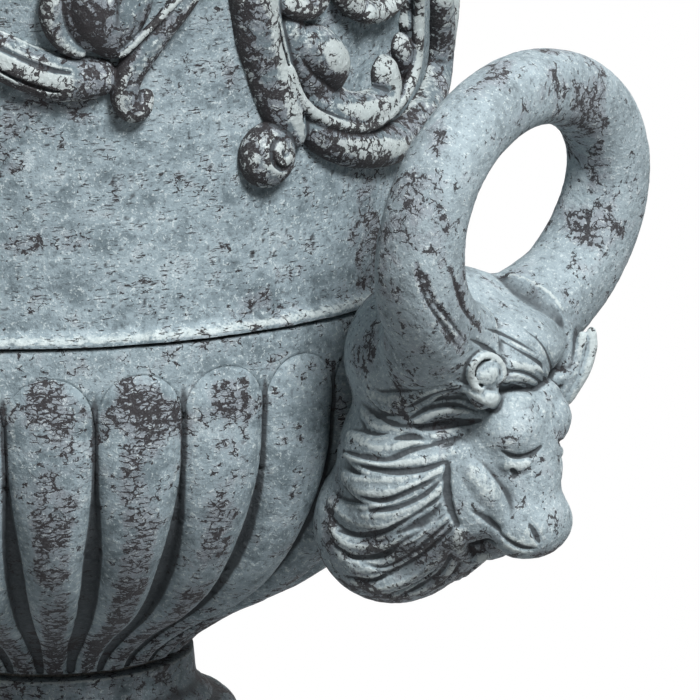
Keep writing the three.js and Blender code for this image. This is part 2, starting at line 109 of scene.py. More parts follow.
class Noise:
    """A smooth random field in space, from a seeded lattice."""

    def __init__(self, seed, n=32):
        self.lattice = np.random.default_rng(seed).uniform(-1, 1, (n, n, n)).astype(np.float32)

    def one(self, p, size):
        q = np.asarray(p, np.float32) / size
        low = np.floor(q).astype(np.int64)
        return between(self.lattice, low, smoothstep(q - low, 0, 1))

    def __call__(self, p, size, octaves=3):
        total, whole = 0.0, 0.0
        for k in range(octaves):
            total = total + 0.5 ** k * self.one(np.asarray(p) + 17.3 * k, size / 2 ** k)
            whole += 0.5 ** k
        return total / whole


NOISE = Noise(7)


def patches(p, size, low, high):
    """Soft-edged patches of about a size: 0 where the noise is low, 1 where it is high."""
    return smoothstep(NOISE(p, size, 2), low, high)


def uneven(p, swell, lump, grit, shift):
    """How far a cast surface stands out: height and size of its swells, lumps and grit."""
    return (swell[0] * NOISE(p, swell[1], 2) + lump[0] * NOISE(p, lump[1])
            + grit[0] * NOISE(p + shift, grit[1], 2))


# ---- Meshes ----

def placed(name, data):
    """A new object in the scene."""
    ob = bpy.data.objects.new(name, data)
    bpy.context.collection.objects.link(ob)
    return ob


def make(name, verts, faces, crest, soot):
    """A smooth mesh object. The materials read its crests (hollows are below 0), painted as shade in hollows
    and as wear and highlight on crests, and its black paint, which on the ornaments and the mask also
    carries painted shade.
    """
    mesh = bpy.data.meshes.new(name)
    verts = np.asarray(verts, np.float32) * MM
    faces = np.asarray(faces, np.int32)
    count, corners = faces.shape
    mesh.vertices.add(len(verts))
    mesh.vertices.foreach_set("co", verts.ravel())
    mesh.loops.add(count * corners)
    mesh.loops.foreach_set("vertex_index", faces.ravel())
    mesh.polygons.add(count)
    mesh.polygons.foreach_set("loop_start", np.arange(0, count * corners, corners, dtype=np.int32))
    mesh.update(calc_edges=True)
    mesh.polygons.foreach_set("use_smooth", np.ones(count, bool))
    for key, value, least in (("crest", crest, -1), ("soot", soot, 0)):
        layer = mesh.attributes.new(key, "FLOAT", "POINT")
        layer.data.foreach_set("value", np.clip(value, least, 1).astype(np.float32).ravel())
    mesh.update()
    return placed(name, mesh)


def turned_copy(ob, name):
    """The same piece on the opposite side of the urn."""
    mesh = ob.data.copy()
    mesh.name = name
    mesh.transform(Matrix.Rotation(math.pi, 4, "Z"))
    return placed(name, mesh)


def ring_faces(rows, around):
    """Quads of a closed tube of rows, the last row joined to the first."""
    r, c = np.meshgrid(np.arange(rows), np.arange(around), indexing="ij")
    r1, c1 = (r + 1) % rows, (c + 1) % around
    corners = [r * around + c, r * around + c1, r1 * around + c1, r1 * around + c]
    return np.stack(corners, -1).reshape(-1, 4)


def around_axis(radius, angle, height):
    return np.stack([radius * np.cos(angle), radius * np.sin(angle), height], -1)


def swept(r, z, angle):
    """A grid of points whose rows and columns both close, and its unit normals."""
    p = around_axis(r, angle[None, :], z)
    down = np.roll(p, -1, 0) - np.roll(p, 1, 0)
    along = np.roll(p, -1, 1) - np.roll(p, 1, 1)
    n = np.cross(along, down)
    return p, n / np.maximum(np.linalg.norm(n, axis=-1, keepdims=True), 1e-9)


def revolved(profile, around):
    """An outline turned about the axis: angles, radii and heights as a grid."""
    angle = np.linspace(0, 2 * np.pi, around, endpoint=False)
    return angle, np.repeat(profile[:, :1], around, 1), np.repeat(profile[:, 1:], around, 1)


def grid_piece(name, p, crest, soot, origin=SEAM):
    """The piece whose surface is a closed grid of points, with heights counted from an origin."""
    return make(name, p.reshape(-1, 3) + [0, 0, origin], ring_faces(*p.shape[:2]), crest, soot)


# ---- Outlines of the castings ----

FILLET = arc(203.5, 0.5, 5, -30, 60, 14)
FILLET_RADIUS = 208.6   # with room for its rough surface
BELL = catmull([[203.2, 6], [202.5, 34], [203.5, 75], [206.5, 115], [212, 150], [222, 188],
                [238, 220], [252, 237]], 36)
LIP_HEIGHT = 262.0      # of the rolled lip's centre
LIP = arc(257, LIP_HEIGHT, 15, -75, 80, 30)
MOUTH = catmull([[243, RIM_TOP - 2], [231, 250], [214, 215], [196, 165], [188, 110],
                 [187, -JOINT]], 10)

# (height, radius) of the bowl between its gadroons, and (height, how far they stand out)
GROUND = catmull([[-207, 68], [-197, 76], [-182, 97], [-165, 124], [-145, 149], [-122, 170],
                  [-100, 185], [-75, 195], [-45, 201], [-20, 204]], 12)
LOBE_RELIEF = catmull([[-207, 5], [-185, 14], [-160, 23], [-130, 24], [-100, 18], [-75, 13.5],
                       [-45, 9], [-20, 6]], 8)
LOBE_TOP = -17.0
LOBE_SHOULDER = -42.0
LOBE_LEVEL = -62.0      # below it the bowl's rows run level
LOBE_ROUND = 2.1        # exponent of the gadroons' section and round tops
PAINT_LEFT = np.random.default_rng(11).uniform(0.2, 1.0, LOBES)     # black paint on each gadroon
PAINT_LEFT[[24, 25, 26, 27, 0]] = 0.85, 1.1, 0.6, 0.1, 0.4         # those that the picture shows
BOWL_FOOT = -207.0
BOWL_FLOOR = -172.0
CHANNEL = 22.0          # radius of the drain channel
BAND = 205.0            # radius of the plain band above the gadroons


def bell_radius(z):
    return np.interp(z, BELL[:, 1], BELL[:, 0])


def across_lobe(angle):
    """-1 and 1 in the valleys on both sides of a gadroon, 0 on its crest."""
    k = angle * LOBES / (2 * np.pi)
    return 2 * (k - np.round(k))


def bowl_radius(z, angle):
    """Radius of the bowl: its ground, and on it the gadroons with their round tops."""
    above = np.clip((z - LOBE_SHOULDER) / (LOBE_TOP - LOBE_SHOULDER), 0, 1)
    swell = np.clip(1 - np.abs(across_lobe(angle)) ** LOBE_ROUND - above ** LOBE_ROUND, 0, 1) ** 0.5
    return np.where(z > LOBE_TOP, BAND, np.interp(z, *GROUND.T) + np.interp(z, *LOBE_RELIEF.T) * swell)


# ---- Carved forms: a signed distance field in a box, negative inside ----

class Field:
    """Distances on a lattice, with eggs and worms blended in or cut out."""

    def __init__(self, low, high, step):
        self.low, self.step = np.asarray(low, float), step
        self.n = np.ceil((np.asarray(high) - self.low) / step).astype(int) + 1
        self.d = np.full(self.n, FAR, np.float32)
        self.axes = [(self.low[k] + np.arange(self.n[k]) * step).astype(np.float32) for k in range(3)]

    def twin(self):
        other = Field(self.low, self.low + (self.n - 1) * self.step, self.step)
        other.d = self.d.copy()
        return other

    def window(self, low, high):
        i0 = np.clip(np.floor((np.asarray(low) - self.low) / self.step).astype(int), 0, self.n)
        i1 = np.clip(np.ceil((np.asarray(high) - self.low) / self.step).astype(int) + 1, 0, self.n)
        if (i1 <= i0).any():
            return None, None
        s = tuple(slice(a, b) for a, b in zip(i0, i1))
        x, y, z = (self.axes[k][s[k]] for k in range(3))
        return s, (x[:, None, None], y[None, :, None], z[None, None, :])

    def add(self, d, s, blend):
        here = self.d[s]
        h = np.maximum(blend - np.abs(here - d), 0)
        self.d[s] = np.minimum(here, d) - h * h * (0.25 / max(blend, 1e-6))

    def cut(self, d, s, blend):
        here = self.d[s]
        h = np.maximum(blend - np.abs(here + d), 0)
        self.d[s] = np.maximum(here, -d) + h * h * (0.25 / max(blend, 1e-6))

    def egg(self, at, size, blend=4.0, cut=False):
        at, size = np.asarray(at, float), np.asarray(size, float)
        reach = size + blend + 3 * self.step
        s, xyz = self.window(at - reach, at + reach)
        if s is None:
            return
        q = [(xyz[i] - at[i]) / size[i] for i in range(3)]
        k0 = np.sqrt(q[0] ** 2 + q[1] ** 2 + q[2] ** 2)
        k1 = np.sqrt((q[0] / size[0]) ** 2 + (q[1] / size[1]) ** 2 + (q[2] / size[2]) ** 2)
        d = (k0 * (k0 - 1) / np.maximum(k1, 1e-6)).astype(np.float32)
        (self.cut if cut else self.add)(d, s, blend)

    def worm(self, points, radii, blend=2.0, cut=False):
        """A round strand along points, with a radius at each."""
        p, r = np.asarray(points, float), np.broadcast_to(np.asarray(radii, float), len(points))
        for a, b, ra, rb in zip(p[:-1], p[1:], r[:-1], r[1:]):
            pad = max(ra, rb) + blend + 2 * self.step
            s, xyz = self.window(np.minimum(a, b) - pad, np.maximum(a, b) + pad)
            if s is None:
                continue
            ab = b - a
            v = [xyz[i] - a[i] for i in range(3)]
            t = np.clip((v[0] * ab[0] + v[1] * ab[1] + v[2] * ab[2]) / max(ab @ ab, 1e-9), 0, 1)
            d = np.sqrt((v[0] - t * ab[0]) ** 2 + (v[1] - t * ab[1]) ** 2 + (v[2] - t * ab[2]) ** 2)
            d = (d - (ra + (rb - ra) * t)).astype(np.float32)
            (self.cut if cut else self.add)(d, s, blend)

    def sample(self, p, values=None):
        """Reading at any points, of the field or of other values on its lattice."""
        q = np.clip((np.asarray(p) - self.low) / self.step, 0, self.n - 1.001)
        i = q.astype(int)
        return between(self.d if values is None else values, i, q - i)

    def normals(self, p, reach=1.5):
        e = np.eye(3) * reach
        g = np.stack([self.sample(p + e[k]) - self.sample(p - e[k]) for k in range(3)], -1)
        return g / np.maximum(np.linalg.norm(g, axis=1), 1e-6)[:, None]

    def softened(self, reach):
        """The field averaged over boxes that reach so far to every side."""
        n = max(1, int(round(reach / self.step)))
        d = np.minimum(self.d, 4 * reach)
        for axis in range(3):
            pad = [(0, 0)] * 3
            pad[axis] = (n + 1, n)
            total = np.cumsum(np.pad(d, pad, mode="edge"), axis=axis, dtype=np.float64)
            size = d.shape[axis]
            high = np.take(total, np.arange(2 * n + 1, 2 * n + 1 + size), axis=axis)
            low = np.take(total, np.arange(0, size), axis=axis)
            d = ((high - low) / (2 * n + 1)).astype(np.float32)
        return d

    def surface(self):
        grid = vdb.FloatGrid(FAR)
        grid.copyFromArray(np.ascontiguousarray(self.d))
        points, quads = grid.convertToQuads(0.0)
        return self.low + np.asarray(points) * self.step, np.asarray(quads)[:, ::-1]


FINE_EDGE, BROAD_EDGE = (2.0, 0.55), (5.0, 2.2)     # reach, and the depth that counts as a full crest


def weathered(field, name, blackened):
    """The field's surface as a piece: roughened, with its crests, hollows and blackened places."""
    v, faces = field.surface()
    n = field.normals(v)
    # crests and hollows of the carved form: the materials paint hollows darker as painted shade, and crests
    # paler as wear and painted highlight
    crest = sum(field.sample(v, field.softened(reach)) / depth for reach, depth in (FINE_EDGE, BROAD_EDGE))
    v = v + n * (0.28 * NOISE(v, 7) + 0.16 * NOISE(v + 90, 2.6, 2))[:, None]
    return make(name, v + [0, 0, SEAM], faces, crest, blackened(v, n))


# ---- The photograph's camera, and where its sight lines meet the urn ----

EYE = np.array([2439.384, -3059.047, 1200.647 - SEAM])
AIM = np.array([128.597, 94.239, 318.477 - SEAM])
ROLL = rad(-0.9)
FOCAL = 391.09          # mm, on a film 36 mm wide
FILM = 36.0
PICTURE = 700           # its width and height in pixels

camera_turn = ((Vector(AIM) - Vector(EYE)).to_track_quat("-Z", "Y").to_matrix().to_4x4()
               @ Matrix.Rotation(ROLL, 4, "Z"))
RIGHT, UP, BACK = (np.array(camera_turn.to_3x3().col[k]) for k in range(3))
FOCAL_PIXELS = FOCAL / FILM * PICTURE
SIGHT_START = 3500.0    # nearer to the eye than any part
SIGHT_STEPS = 120
BELL_GUESS = 207.0      # the bell's radius that a search starts from
BELL_STEPS = 8


def sight(places):
    """Directions from the eye through places of the picture, in pixels."""
    x, y = np.asarray(places, float).T
    d = (-BACK + RIGHT * ((x - PICTURE / 2) / FOCAL_PIXELS)[:, None]
         - UP * ((y - PICTURE / 2) / FOCAL_PIXELS)[:, None])
    return d / np.linalg.norm(d, axis=1)[:, None]


def seen_at(field, places):
    """Where the sight lines through places of the picture meet a carved form."""
    d = sight(places)
    t = np.full(len(d), SIGHT_START)
    high = field.low + (field.n - 1) * field.step
    for _ in range(SIGHT_STEPS):
        p = EYE + d * t[:, None]
        outside = ((p < field.low) | (p > high)).any(1)
        gap = np.where(outside, 9, field.sample(p))
        t = t + np.where(np.abs(gap) > 0.05, np.clip(gap * 0.7, -5, 8), 0)
    return EYE + d * t[:, None]


def seen_on_bell(places, lift):
    """Azimuths and heights where the sight lines meet the upper body, swollen by a lift."""
    d = sight(places)
    r = np.full(len(d), BELL_GUESS) + lift
    for _ in range(BELL_STEPS):
        a = d[:, 0] ** 2 + d[:, 1] ** 2
        b = 2 * (EYE[0] * d[:, 0] + EYE[1] * d[:, 1])
        c = EYE[0] ** 2 + EYE[1] ** 2 - r * r
        t = (-b - np.sqrt(np.maximum(b * b - 4 * a * c, 0))) / (2 * a)
        p = EYE + d * t[:, None]
        r = bell_radius(p[:, 2]) + lift
    return np.stack([np.degrees(np.arctan2(p[:, 1], p[:, 0])), p[:, 2]], -1)


def on_bell(places, lift=0.0):
    azimuth, z = np.asarray(places, float).T
    return around_axis(bell_radius(z) + lift, np.radians(azimuth), z)


# ---- Castings ----

BELL_INSET = 1.25       # keeps the rough surface inside the construction's


def upper_body():
    """The bell with its fillet and rolled lip, and its open inside."""
    angle, r, z = revolved(np.vstack([FILLET, BELL[1:], LIP, MOUTH]), 840)
    p, n = swept(r, z, angle)
    rough = uneven(p, (0.35, 60), (0.3, 9), (0.14, 2.4), 40)
    pits = patches(p + 200, 2.6, 0.40, 0.6)
    mouth_row = len(FILLET) + len(BELL) + len(LIP)
    inner = smoothstep(np.arange(len(z)), mouth_row, mouth_row + 4)[:, None]
    p = p + n * ((rough - BELL_INSET - 0.2 * pits) * (1 - 0.5 * inner))[..., None]
    lip_crest = smoothstep(z, LIP_HEIGHT, LIP_HEIGHT + 8) * (1 - inner)
    fillet_crest = smoothstep(z, -1, 2) * smoothstep(z, 8, 4)
    # crest: paler on the lip and the fillet, partly wear and partly painted highlight, and painted shade in
    # the pits
    crest = 0.8 * lip_crest + 0.75 * fillet_crest - 0.5 * pits
    soot = 0.26 * patches(p + 70, 40, 0.1, 0.55) + 0.25 * lip_crest
    return grid_piece("aged_body", p, crest, soot)


def lobe_columns():
    """Places across every gadroon, closer together towards the valleys, and their angles."""
    per_lobe = 28
    t = (np.arange(per_lobe) + 0.5) / per_lobe * 2 - 1
    across = np.sin(t * np.pi / 2)
    lobe = np.arange(LOBES)
    angle = ((lobe[:, None] + across[None, :] / 2) * 2 * np.pi / LOBES).ravel()
    return np.tile(across, LOBES), np.repeat(lobe, per_lobe), angle


BOWL_FULL = 4.2         # how far the bowl's lower half stands out past the first fit


def lower_bowl():
    """The gadroons, whose rows follow their round tops, then the underside, channel and inside."""
    across, lobe, angle = lobe_columns()
    side = np.abs(across)
    arch = LOBE_SHOULDER + (LOBE_TOP - LOBE_SHOULDER) * (1 - side ** LOBE_ROUND) ** (1 / LOBE_ROUND)
    band_rows, arch_rows, body_rows = 12, 34, 120
    z = [BED + (arch - BED) * t for t in np.linspace(0, 1, band_rows)]
    z += [arch + (LOBE_LEVEL - arch) * t for t in np.linspace(0, 1, arch_rows)[1:] ** 1.8]
    z += [LOBE_LEVEL + (BOWL_FOOT - LOBE_LEVEL) * t + 0 * arch for t in np.linspace(0, 1, body_rows)[1:]]
    z = np.array(z)
    r = bowl_radius(z, angle)
    r[:band_rows] = BAND
    outer = len(z)
    inside = np.vstack([
        np.linspace([66, BOWL_FOOT], [CHANNEL, BOWL_FOOT], 8),
        np.linspace([CHANNEL, BOWL_FOOT + 2], [CHANNEL, BOWL_FLOOR], 6),
        catmull([[40, BOWL_FLOOR], [92, BOWL_FLOOR], [132, -150], [163, -112], [178, -70],
                 [184, -30], [185, BED]], 8),
        [[195, BED]],
    ])
    z = np.vstack([z, np.repeat(inside[:, 1:], len(across), 1)])
    r = np.vstack([r, np.repeat(inside[:, :1], len(across), 1)])
    p, n = swept(r, z, angle)
    rows = np.arange(len(z))[:, None]
    out = (rows < outer) * 1.0
    rough = uneven(p, (0.25, 24), (0.3, 8), (0.14, 2.4), 40)
    # valley: painted shade along each valley between the gadroons, through crest; it also places the nodules
    valley = smoothstep(side, 0.86, 1.0) * smoothstep(z, LOBE_TOP, LOBE_SHOULDER) * out
    nodule = patches(p + 300, 5.5, 0.3, 0.55) * valley
    full = BOWL_FULL * smoothstep(z, -60, -130) * (1 - 0.5 * smoothstep(z, -180, BOWL_FOOT)) * out
    p = p + n * ((rough - 0.45) * (0.3 + 0.7 * out) + full + 1.4 * nodule)[..., None]
    in_lobe = out * (rows >= band_rows)
    # painted highlight: pale lines along both flanks of each gadroon, next to its valleys
    flank_highlight = smoothstep(side, 0.62, 0.82) * in_lobe
    crest = 0.55 * smoothstep(side, 0.95, 0.75) * flank_highlight - 1.1 * valley + 0.4 * nodule
    # blackened crests: an arch under each gadroon's top, then down its middle
    depth = arch - z
    ring = smoothstep(depth, 3, 8) * smoothstep(depth, 30, 14)
    middle = smoothstep(side, 0.66, 0.3) * (0.24 + 0.26 * smoothstep(z, -75, -105))
    soot = in_lobe * PAINT_LEFT[lobe] * (0.30 * ring + middle + 0.30 * NOISE(p + 500, 24, 2))
    soot = soot + 0.08 * (1 - in_lobe) * out + 0.25 * smoothstep(z, -150, -190) * out
    return grid_piece("aged_bowl", p, crest, soot)


def foot():
    """The turned foot, from its closed outline of (radius, height above the floor)."""
    around = 360
    profile = np.vstack([
        np.linspace([CHANNEL, 44], [119, 44], 12),
        arc(113, 56, 12, -60, 75, 34),
        [[108, 68.2], [107, 72.6], [104, 73]],
        catmull([[100, 73.5], [84, 84], [76, 96], [80, 108]], 12),
        [[83, 108.4]],
        arc(86, 120, 12, -72, 75, 34),
        catmull([[84, 133.5], [81, 137.5], [76, 143], [74, 160]], 8),
        np.linspace([70, 160], [CHANNEL, 160], 7),
        np.linspace([CHANNEL, 155], [CHANNEL, 50], 8),
    ])
    angle, r, z = revolved(profile, around)
    p, n = swept(r, z, angle)
    bend = np.roll(profile, -1, 0) + np.roll(profile, 1, 0) - 2 * profile
    curve = -(n[:, 0, [0]] * bend[:, :1] + n[:, 0, [2]] * bend[:, 1:])
    p = p + n * (uneven(p, (0.25, 20), (0.28, 7), (0.12, 2.4), 9) - 0.4)[..., None]
    # crest from the outline's bend: paler where it bulges, partly wear and partly painted highlight, and
    # painted shade where it hollows
    crest = np.repeat(curve * 2.5, around, 1)
    soot = 0.15 + 0.5 * patches(p + 50, 26, 0.0, 0.5)
    return grid_piece("aged_foot", p, crest, soot, 0)


PLINTH_HALF = 131.0
PLINTH_TOP = 42.0
PLINTH_CORNER = 1.405   # where its corners are blunted, in half sides from the axis
RECESS = 46.0
RECESS_TOP = 15.0


def plinth():
    """The square slab: rings that change from the square outline to the round channel."""
    side = 90
    t = np.linspace(-1, 1, side, endpoint=False) + 1 / side
    corner = np.arctan(t)
    angle = np.concatenate([corner + k * np.pi / 2 for k in range(4)])
    square = 1 / np.maximum(np.abs(np.cos(angle)), np.abs(np.sin(angle)))
    square = np.minimum(square, PLINTH_CORNER)
    h = PLINTH_HALF
    outline = np.vstack([
        [[h - 1.2, 0.0]],
        np.linspace([h, 1.2], [h, 27.5], 10),
        arc(h - 3, 28, 3, 0, 75, 8),
        np.linspace([h - 4, 31.5], [h - 4.2, 34.5], 3),
        arc(h - 9.5, 34.5, 5, 10, 85, 10) + [0.6, 0],
        np.linspace([h - 10.5, PLINTH_TOP - 2.3], [h - 10.5, PLINTH_TOP - 0.6], 3),
        np.linspace([h - 11.5, PLINTH_TOP], [60, PLINTH_TOP], 24),
        np.linspace([50, PLINTH_TOP], [CHANNEL, PLINTH_TOP], 6),
        np.linspace([CHANNEL, PLINTH_TOP - 2], [CHANNEL, RECESS_TOP], 6),
        np.linspace([28, RECESS_TOP], [RECESS, RECESS_TOP], 6),
        np.linspace([RECESS, RECESS_TOP - 1], [RECESS, 0], 6),
        np.linspace([56, 0], [h - 8, 0], 12),
    ])
    squareness = smoothstep(outline[:, 0], 48, 100)[:, None]
    r = outline[:, :1] * (1 + (square - 1) * squareness)
    z = np.repeat(outline[:, 1:], len(angle), 1)
    p, n = swept(r, z, angle)
    rough = uneven(p, (0.2, 20), (0.28, 7), (0.12, 2.4), 9) - 0.4
    p = p + n * (rough * (1 - smoothstep(z, 1.5, 0.2)))[..., None]
    edge = smoothstep(r, h - 14, h - 9) * smoothstep(z, 20, 30)
    near_corner = smoothstep(square, 1.33, 1.40) * smoothstep(r, 90, 120)
    # crest: paler edges and corners, partly wear and partly painted highlight
    crest = 0.4 * edge + 0.7 * near_corner
    soot = 0.12 + 0.45 * patches(p + 50, 30, 0.05, 0.5) + 0.2 * near_corner
    return grid_piece("aged_plinth", p, crest, soot, 0)


# ---- Scroll ornaments ----

BOTH, NEAR = (1, -1), (1,)      # signs of a form and its twin, or of the form alone


def strand(field, path, radii, lifts, blend=1.5, cut=False, mirror=False):
    """A rounded strand laid on the bell along (azimuth, height) places."""
    count = len(path)
    rows = catmull(np.column_stack([path, np.broadcast_to(radii, count), np.broadcast_to(lifts, count)]), 8)
    p = on_bell(rows[:, :2], rows[:, 3])
    for m in BOTH if mirror else NEAR:
        field.worm(p * [m, 1, 1], np.maximum(rows[:, 2], 0.3), blend, cut)


def seen_strands(field, mirror=False):
    """A function that lays strands along places of the picture."""
    def seen(places, radii, lifts, blend=1.5, cut=False, before=()):
        path = seen_on_bell(places, np.broadcast_to(lifts, len(places)))
        strand(field, np.vstack([*before, path]), radii, lifts, blend, cut, mirror)
    return seen


def seat_on_bell(field, depth=1.5):
    """Trims the ornament to what stands out from the bell, and a little of its bed."""
    x, y, z = np.meshgrid(*field.axes, indexing="ij", sparse=True)
    r = np.sqrt(x * x + y * y)
    face = bell_radius(np.broadcast_to(z, field.d.shape)).astype(np.float32)
    field.cut(r - face + depth, np.s_[:, :, :], 0)


def ornament_black(v, n):
    """Black paint in torn patches, with painted shade: more black on sides that face left in the camera's
    view, and on undersides.
    """
    torn = patches(v + 20, 14, -0.3, 0.4)
    # painted shade on the sides that face left in the camera's view
    aside = smoothstep(-(n @ RIGHT), 0.0, 0.6)
    painted_shade_under = smoothstep(-n[:, 2], 0.1, 0.7)
    return 0.14 + 0.30 * torn + 0.45 * aside + 0.35 * painted_shade_under


# Places in the picture, in pixels
STEM = [(250, -14), (252, 0), (256, 30), (264, 60), (272, 85), (281, 110), (290, 134)]
VOLUTE = (270.3, 156)
C_SCROLL = [(303, 118), (318, 134), (340, 144), (362, 147), (386, 145), (404, 135), (419, 115),
            (431, 90), (436, 65), (438, 40), (439, 15), (438, -8)]
C_RIDGE = [(290, 66), (300, 96), (312, 112), (332, 122), (358, 127), (378, 122), (396, 106), (409, 86),
           (416, 62), (418, 36), (419, 8), (418, -8)]
C_GROUND = [(284, 20), (291, 46), (302, 70), (318, 92), (345, 108), (372, 108), (392, 92),
            (400, 66)]
PETAL = [(302, 40), (316, 50), (328, 64), (331, 80)]
SHELL = [(311, 97), (322, 105), (340, 111), (362, 111), (379, 102), (384, 86), (382, 70)]
SHELL_SECOND = [(399, 44), (402, 58), (404, 76), (400, 92)]
SHELL_THIRD = [(410, -6), (409, 8), (406, 22)]
TOP_CURLS = [[(286, 2), (298, 8), (312, 6), (320, -6)],
             [(340, -8), (350, 4), (366, 12), (384, 8), (398, -6)]]
TOP_BUD = [(366, 13), (367, 14)]
STEM_GROOVE = [(276, 22), (282, 46), (289, 70), (297, 96), (302, 122)]
FAR_LEAF = [(452, -10), (453, 10), (451, 36), (447, 60), (441, 88)]

FRONT = -90             # azimuth of the front
# the band's start, outside the picture: (azimuth, height)
BAND_RISE = [(FRONT, 193), (-81, 196), (-74, 190), (-69, 178), (-63, 163)]
BAND_ROLL = [(0, 54), (27, 67), (55, 76), (74, 78), (90, 77), (101, 76)]
BAND_GROOVES = [[(0, 48), (27, 61), (52, 70), (70, 73)], [(0, 59), (27, 72), (50, 80), (70, 82)],
                [(0, 69), (24, 81), (48, 89), (68, 91)]]
CRESCENT = [(54, -12), (52, 2), (52, 16), (57, 31), (68, 45), (80, 52)]
GREAT_PETAL = [(92, -8), (94, 8), (100, 22), (108, 34), (113, 42)]
GREAT_PETAL_WING = [(132, -12), (124, 6), (116, 24), (113, 40)]
PETAL_BACK = [(70, -6), (72, 14), (84, 36), (98, 46)]
PETAL_EDGE = [(184, -6), (166, 12), (148, 30), (130, 47), (120, 56)]
SIDE_STEM = [(192, -10), (178, 8), (161, 30), (146, 49), (133, 67), (126, 84), (125, 99), (132, 109),
             (141, 106), (146, 96)]


def handle_scrolls():
    """The ornament over a handle: stem, volute, C-scroll and the shell inside it."""
    field = Field([160, -100, 50], [238, 132, 206], 0.65)
    seen = seen_strands(field)
    seen(C_GROUND, 8, -3.5, 3)
    seen(C_SCROLL, [5, 8, 9.5, 10, 10, 9.5, 9, 8.5, 8, 8, 7.5, 7], [1] * 6 + [2] * 5 + [1], 2)
    seen(C_RIDGE, [1.2, 1.6, 2] + [2.2] * 7 + [2, 2], 8.2, 2.5)
    seen(STEM, [13, 13, 13, 12.5, 12, 11, 8], [-3, -3, -3, -3, -2, -1, 0], 1.5)
    seen(STEM_GROOVE, 1.1, 7.4, 0.8, True)
    for places, sizes in ((PETAL, [8, 12, 11, 6]), (SHELL, [4, 7, 9, 10, 9.5, 8.5, 8]),
                          (SHELL_SECOND, [6, 6.5, 6, 4]), (SHELL_THIRD, [6, 6, 5])):
        seen(places, sizes, 0.5, 1.2)
    for curl in TOP_CURLS:
        seen(curl, 5.5, 3, 1.5)
    seen(TOP_BUD, 4.5, 7, 1)
    seen(FAR_LEAF, [6, 7, 7, 6, 3], 3, 1.5)
    volute(field)
    seat_on_bell(field)
    return weathered(field, "scrolls_right", ornament_black)


VOLUTE_SIZE = 16.6      # radius of its face on the bell
VOLUTE_DEPTH = 13.5
VOLUTE_SEAT = 1.5       # its centre, out from the bell
EYE_ASIDE = (0.7, 4.0)  # the spiral's centre from the ball's, in degrees round and mm up


def volute(field):
    """A ball with a spiral groove round a small eye."""
    azimuth, z = seen_on_bell([VOLUTE], 5.0)[0]
    field.egg(on_bell([[azimuth, z]], VOLUTE_SEAT)[0], [VOLUTE_DEPTH, VOLUTE_SIZE, VOLUTE_SIZE], 1.2)
    turn = np.linspace(0, 1, 40)
    out, angle = 1 + 9.5 * turn, turn * 8.2 + 3.4
    degrees_per_mm = 0.26
    spiral = np.column_stack([azimuth + out * np.cos(angle) * degrees_per_mm + EYE_ASIDE[0],
                              z + EYE_ASIDE[1] + out * np.sin(angle)])
    away = np.linalg.norm(on_bell(spiral) - on_bell([[azimuth, z]]), axis=1) / VOLUTE_SIZE
    lift = VOLUTE_SEAT + VOLUTE_DEPTH * np.sqrt(np.clip(1 - away ** 2, 0.05, 1))
    field.worm(on_bell(spiral, lift), 0.9 + 0.5 * turn, 1.0, True)


def front_scrolls():
    """The wide ornament on the front: grooved bands that end in petals and hooked stems."""
    field = Field([-216, -240, 98], [216, -88, 214], 0.8)
    seen = seen_strands(field, mirror=True)
    seen(BAND_ROLL, [9, 9, 9.5, 10.5, 11, 11.5, 11.5, 11.5, 11, 10, 8.5], -1.5, 1.5, before=BAND_RISE)
    for groove in BAND_GROOVES:
        seen(groove, [1.4, 1.4, 1.3, 0.8], [8.6, 8.6, 8.6, 8.4], 0.8, True)
    seen(CRESCENT, [4, 5.5, 6, 5.5, 4.5, 3], 2, 1.2)
    seen(GREAT_PETAL, [14, 14, 13, 10, 7], -2.5, 2)
    seen(GREAT_PETAL_WING, [11, 12, 11, 7], -2.5, 2)
    seen(PETAL_BACK, [5, 5, 4.5, 3], 1.5, 1.5)
    seen(PETAL_EDGE, [1.2, 1.5, 1.5, 1.5, 1.2], 7.2, 1.5)
    seen(SIDE_STEM, [5.5, 6, 6, 6.5, 6.8, 6.5, 6.5, 6.2, 5.2, 3.5], 2.5, 1.2)
    # outside the picture: a palmette of five leaves in the middle, its drop and its button
    for turn, size in ((0, 11), (9, 10), (17, 9)):
        leaf = [(FRONT + 0.3 * turn, 150 - 0.5 * turn), (FRONT + 0.7 * turn, 166 - 0.4 * turn),
                (FRONT + turn, 178 - 0.8 * turn)]
        strand(field, leaf, [4, size * 0.7, size * 0.62], [0, 1, 1], 1.5, mirror=True)
    strand(field, [(FRONT, 142), (FRONT, 134), (FRONT, 126)], [5, 4.5, 3], 2, 1.2)
    strand(field, [(FRONT, 146), (FRONT, 147)], 8, 1, 1.5)
    seat_on_bell(field)
    return weathered(field, "scrolls_front", ornament_black)


# ---- Lion mask with its ring handle ----

RING_REACH = 302.0      # the ring's centre, out from the urn's axis
RING_RISE = 60.0
RING_HALF_WIDTH = 81.0
RING_HALF_HEIGHT = 64.0
RING_LEAN = rad(10.5)
RING_HOOK = 0.0008      # how fast the ring's ends draw back towards the urn, per mm
RING_DROP = 1.08        # its lower half is drawn out so much
RING_TIP = rad(66)      # how far its ends run on below the level of its centre
RING_FOOT, RING_TOP = (23.5, 24.0), (19.3, 18.0)    # half width and half depth of its section
RING_RIDGE = 0.03       # soft corners of its section
RING_STEPS = 240


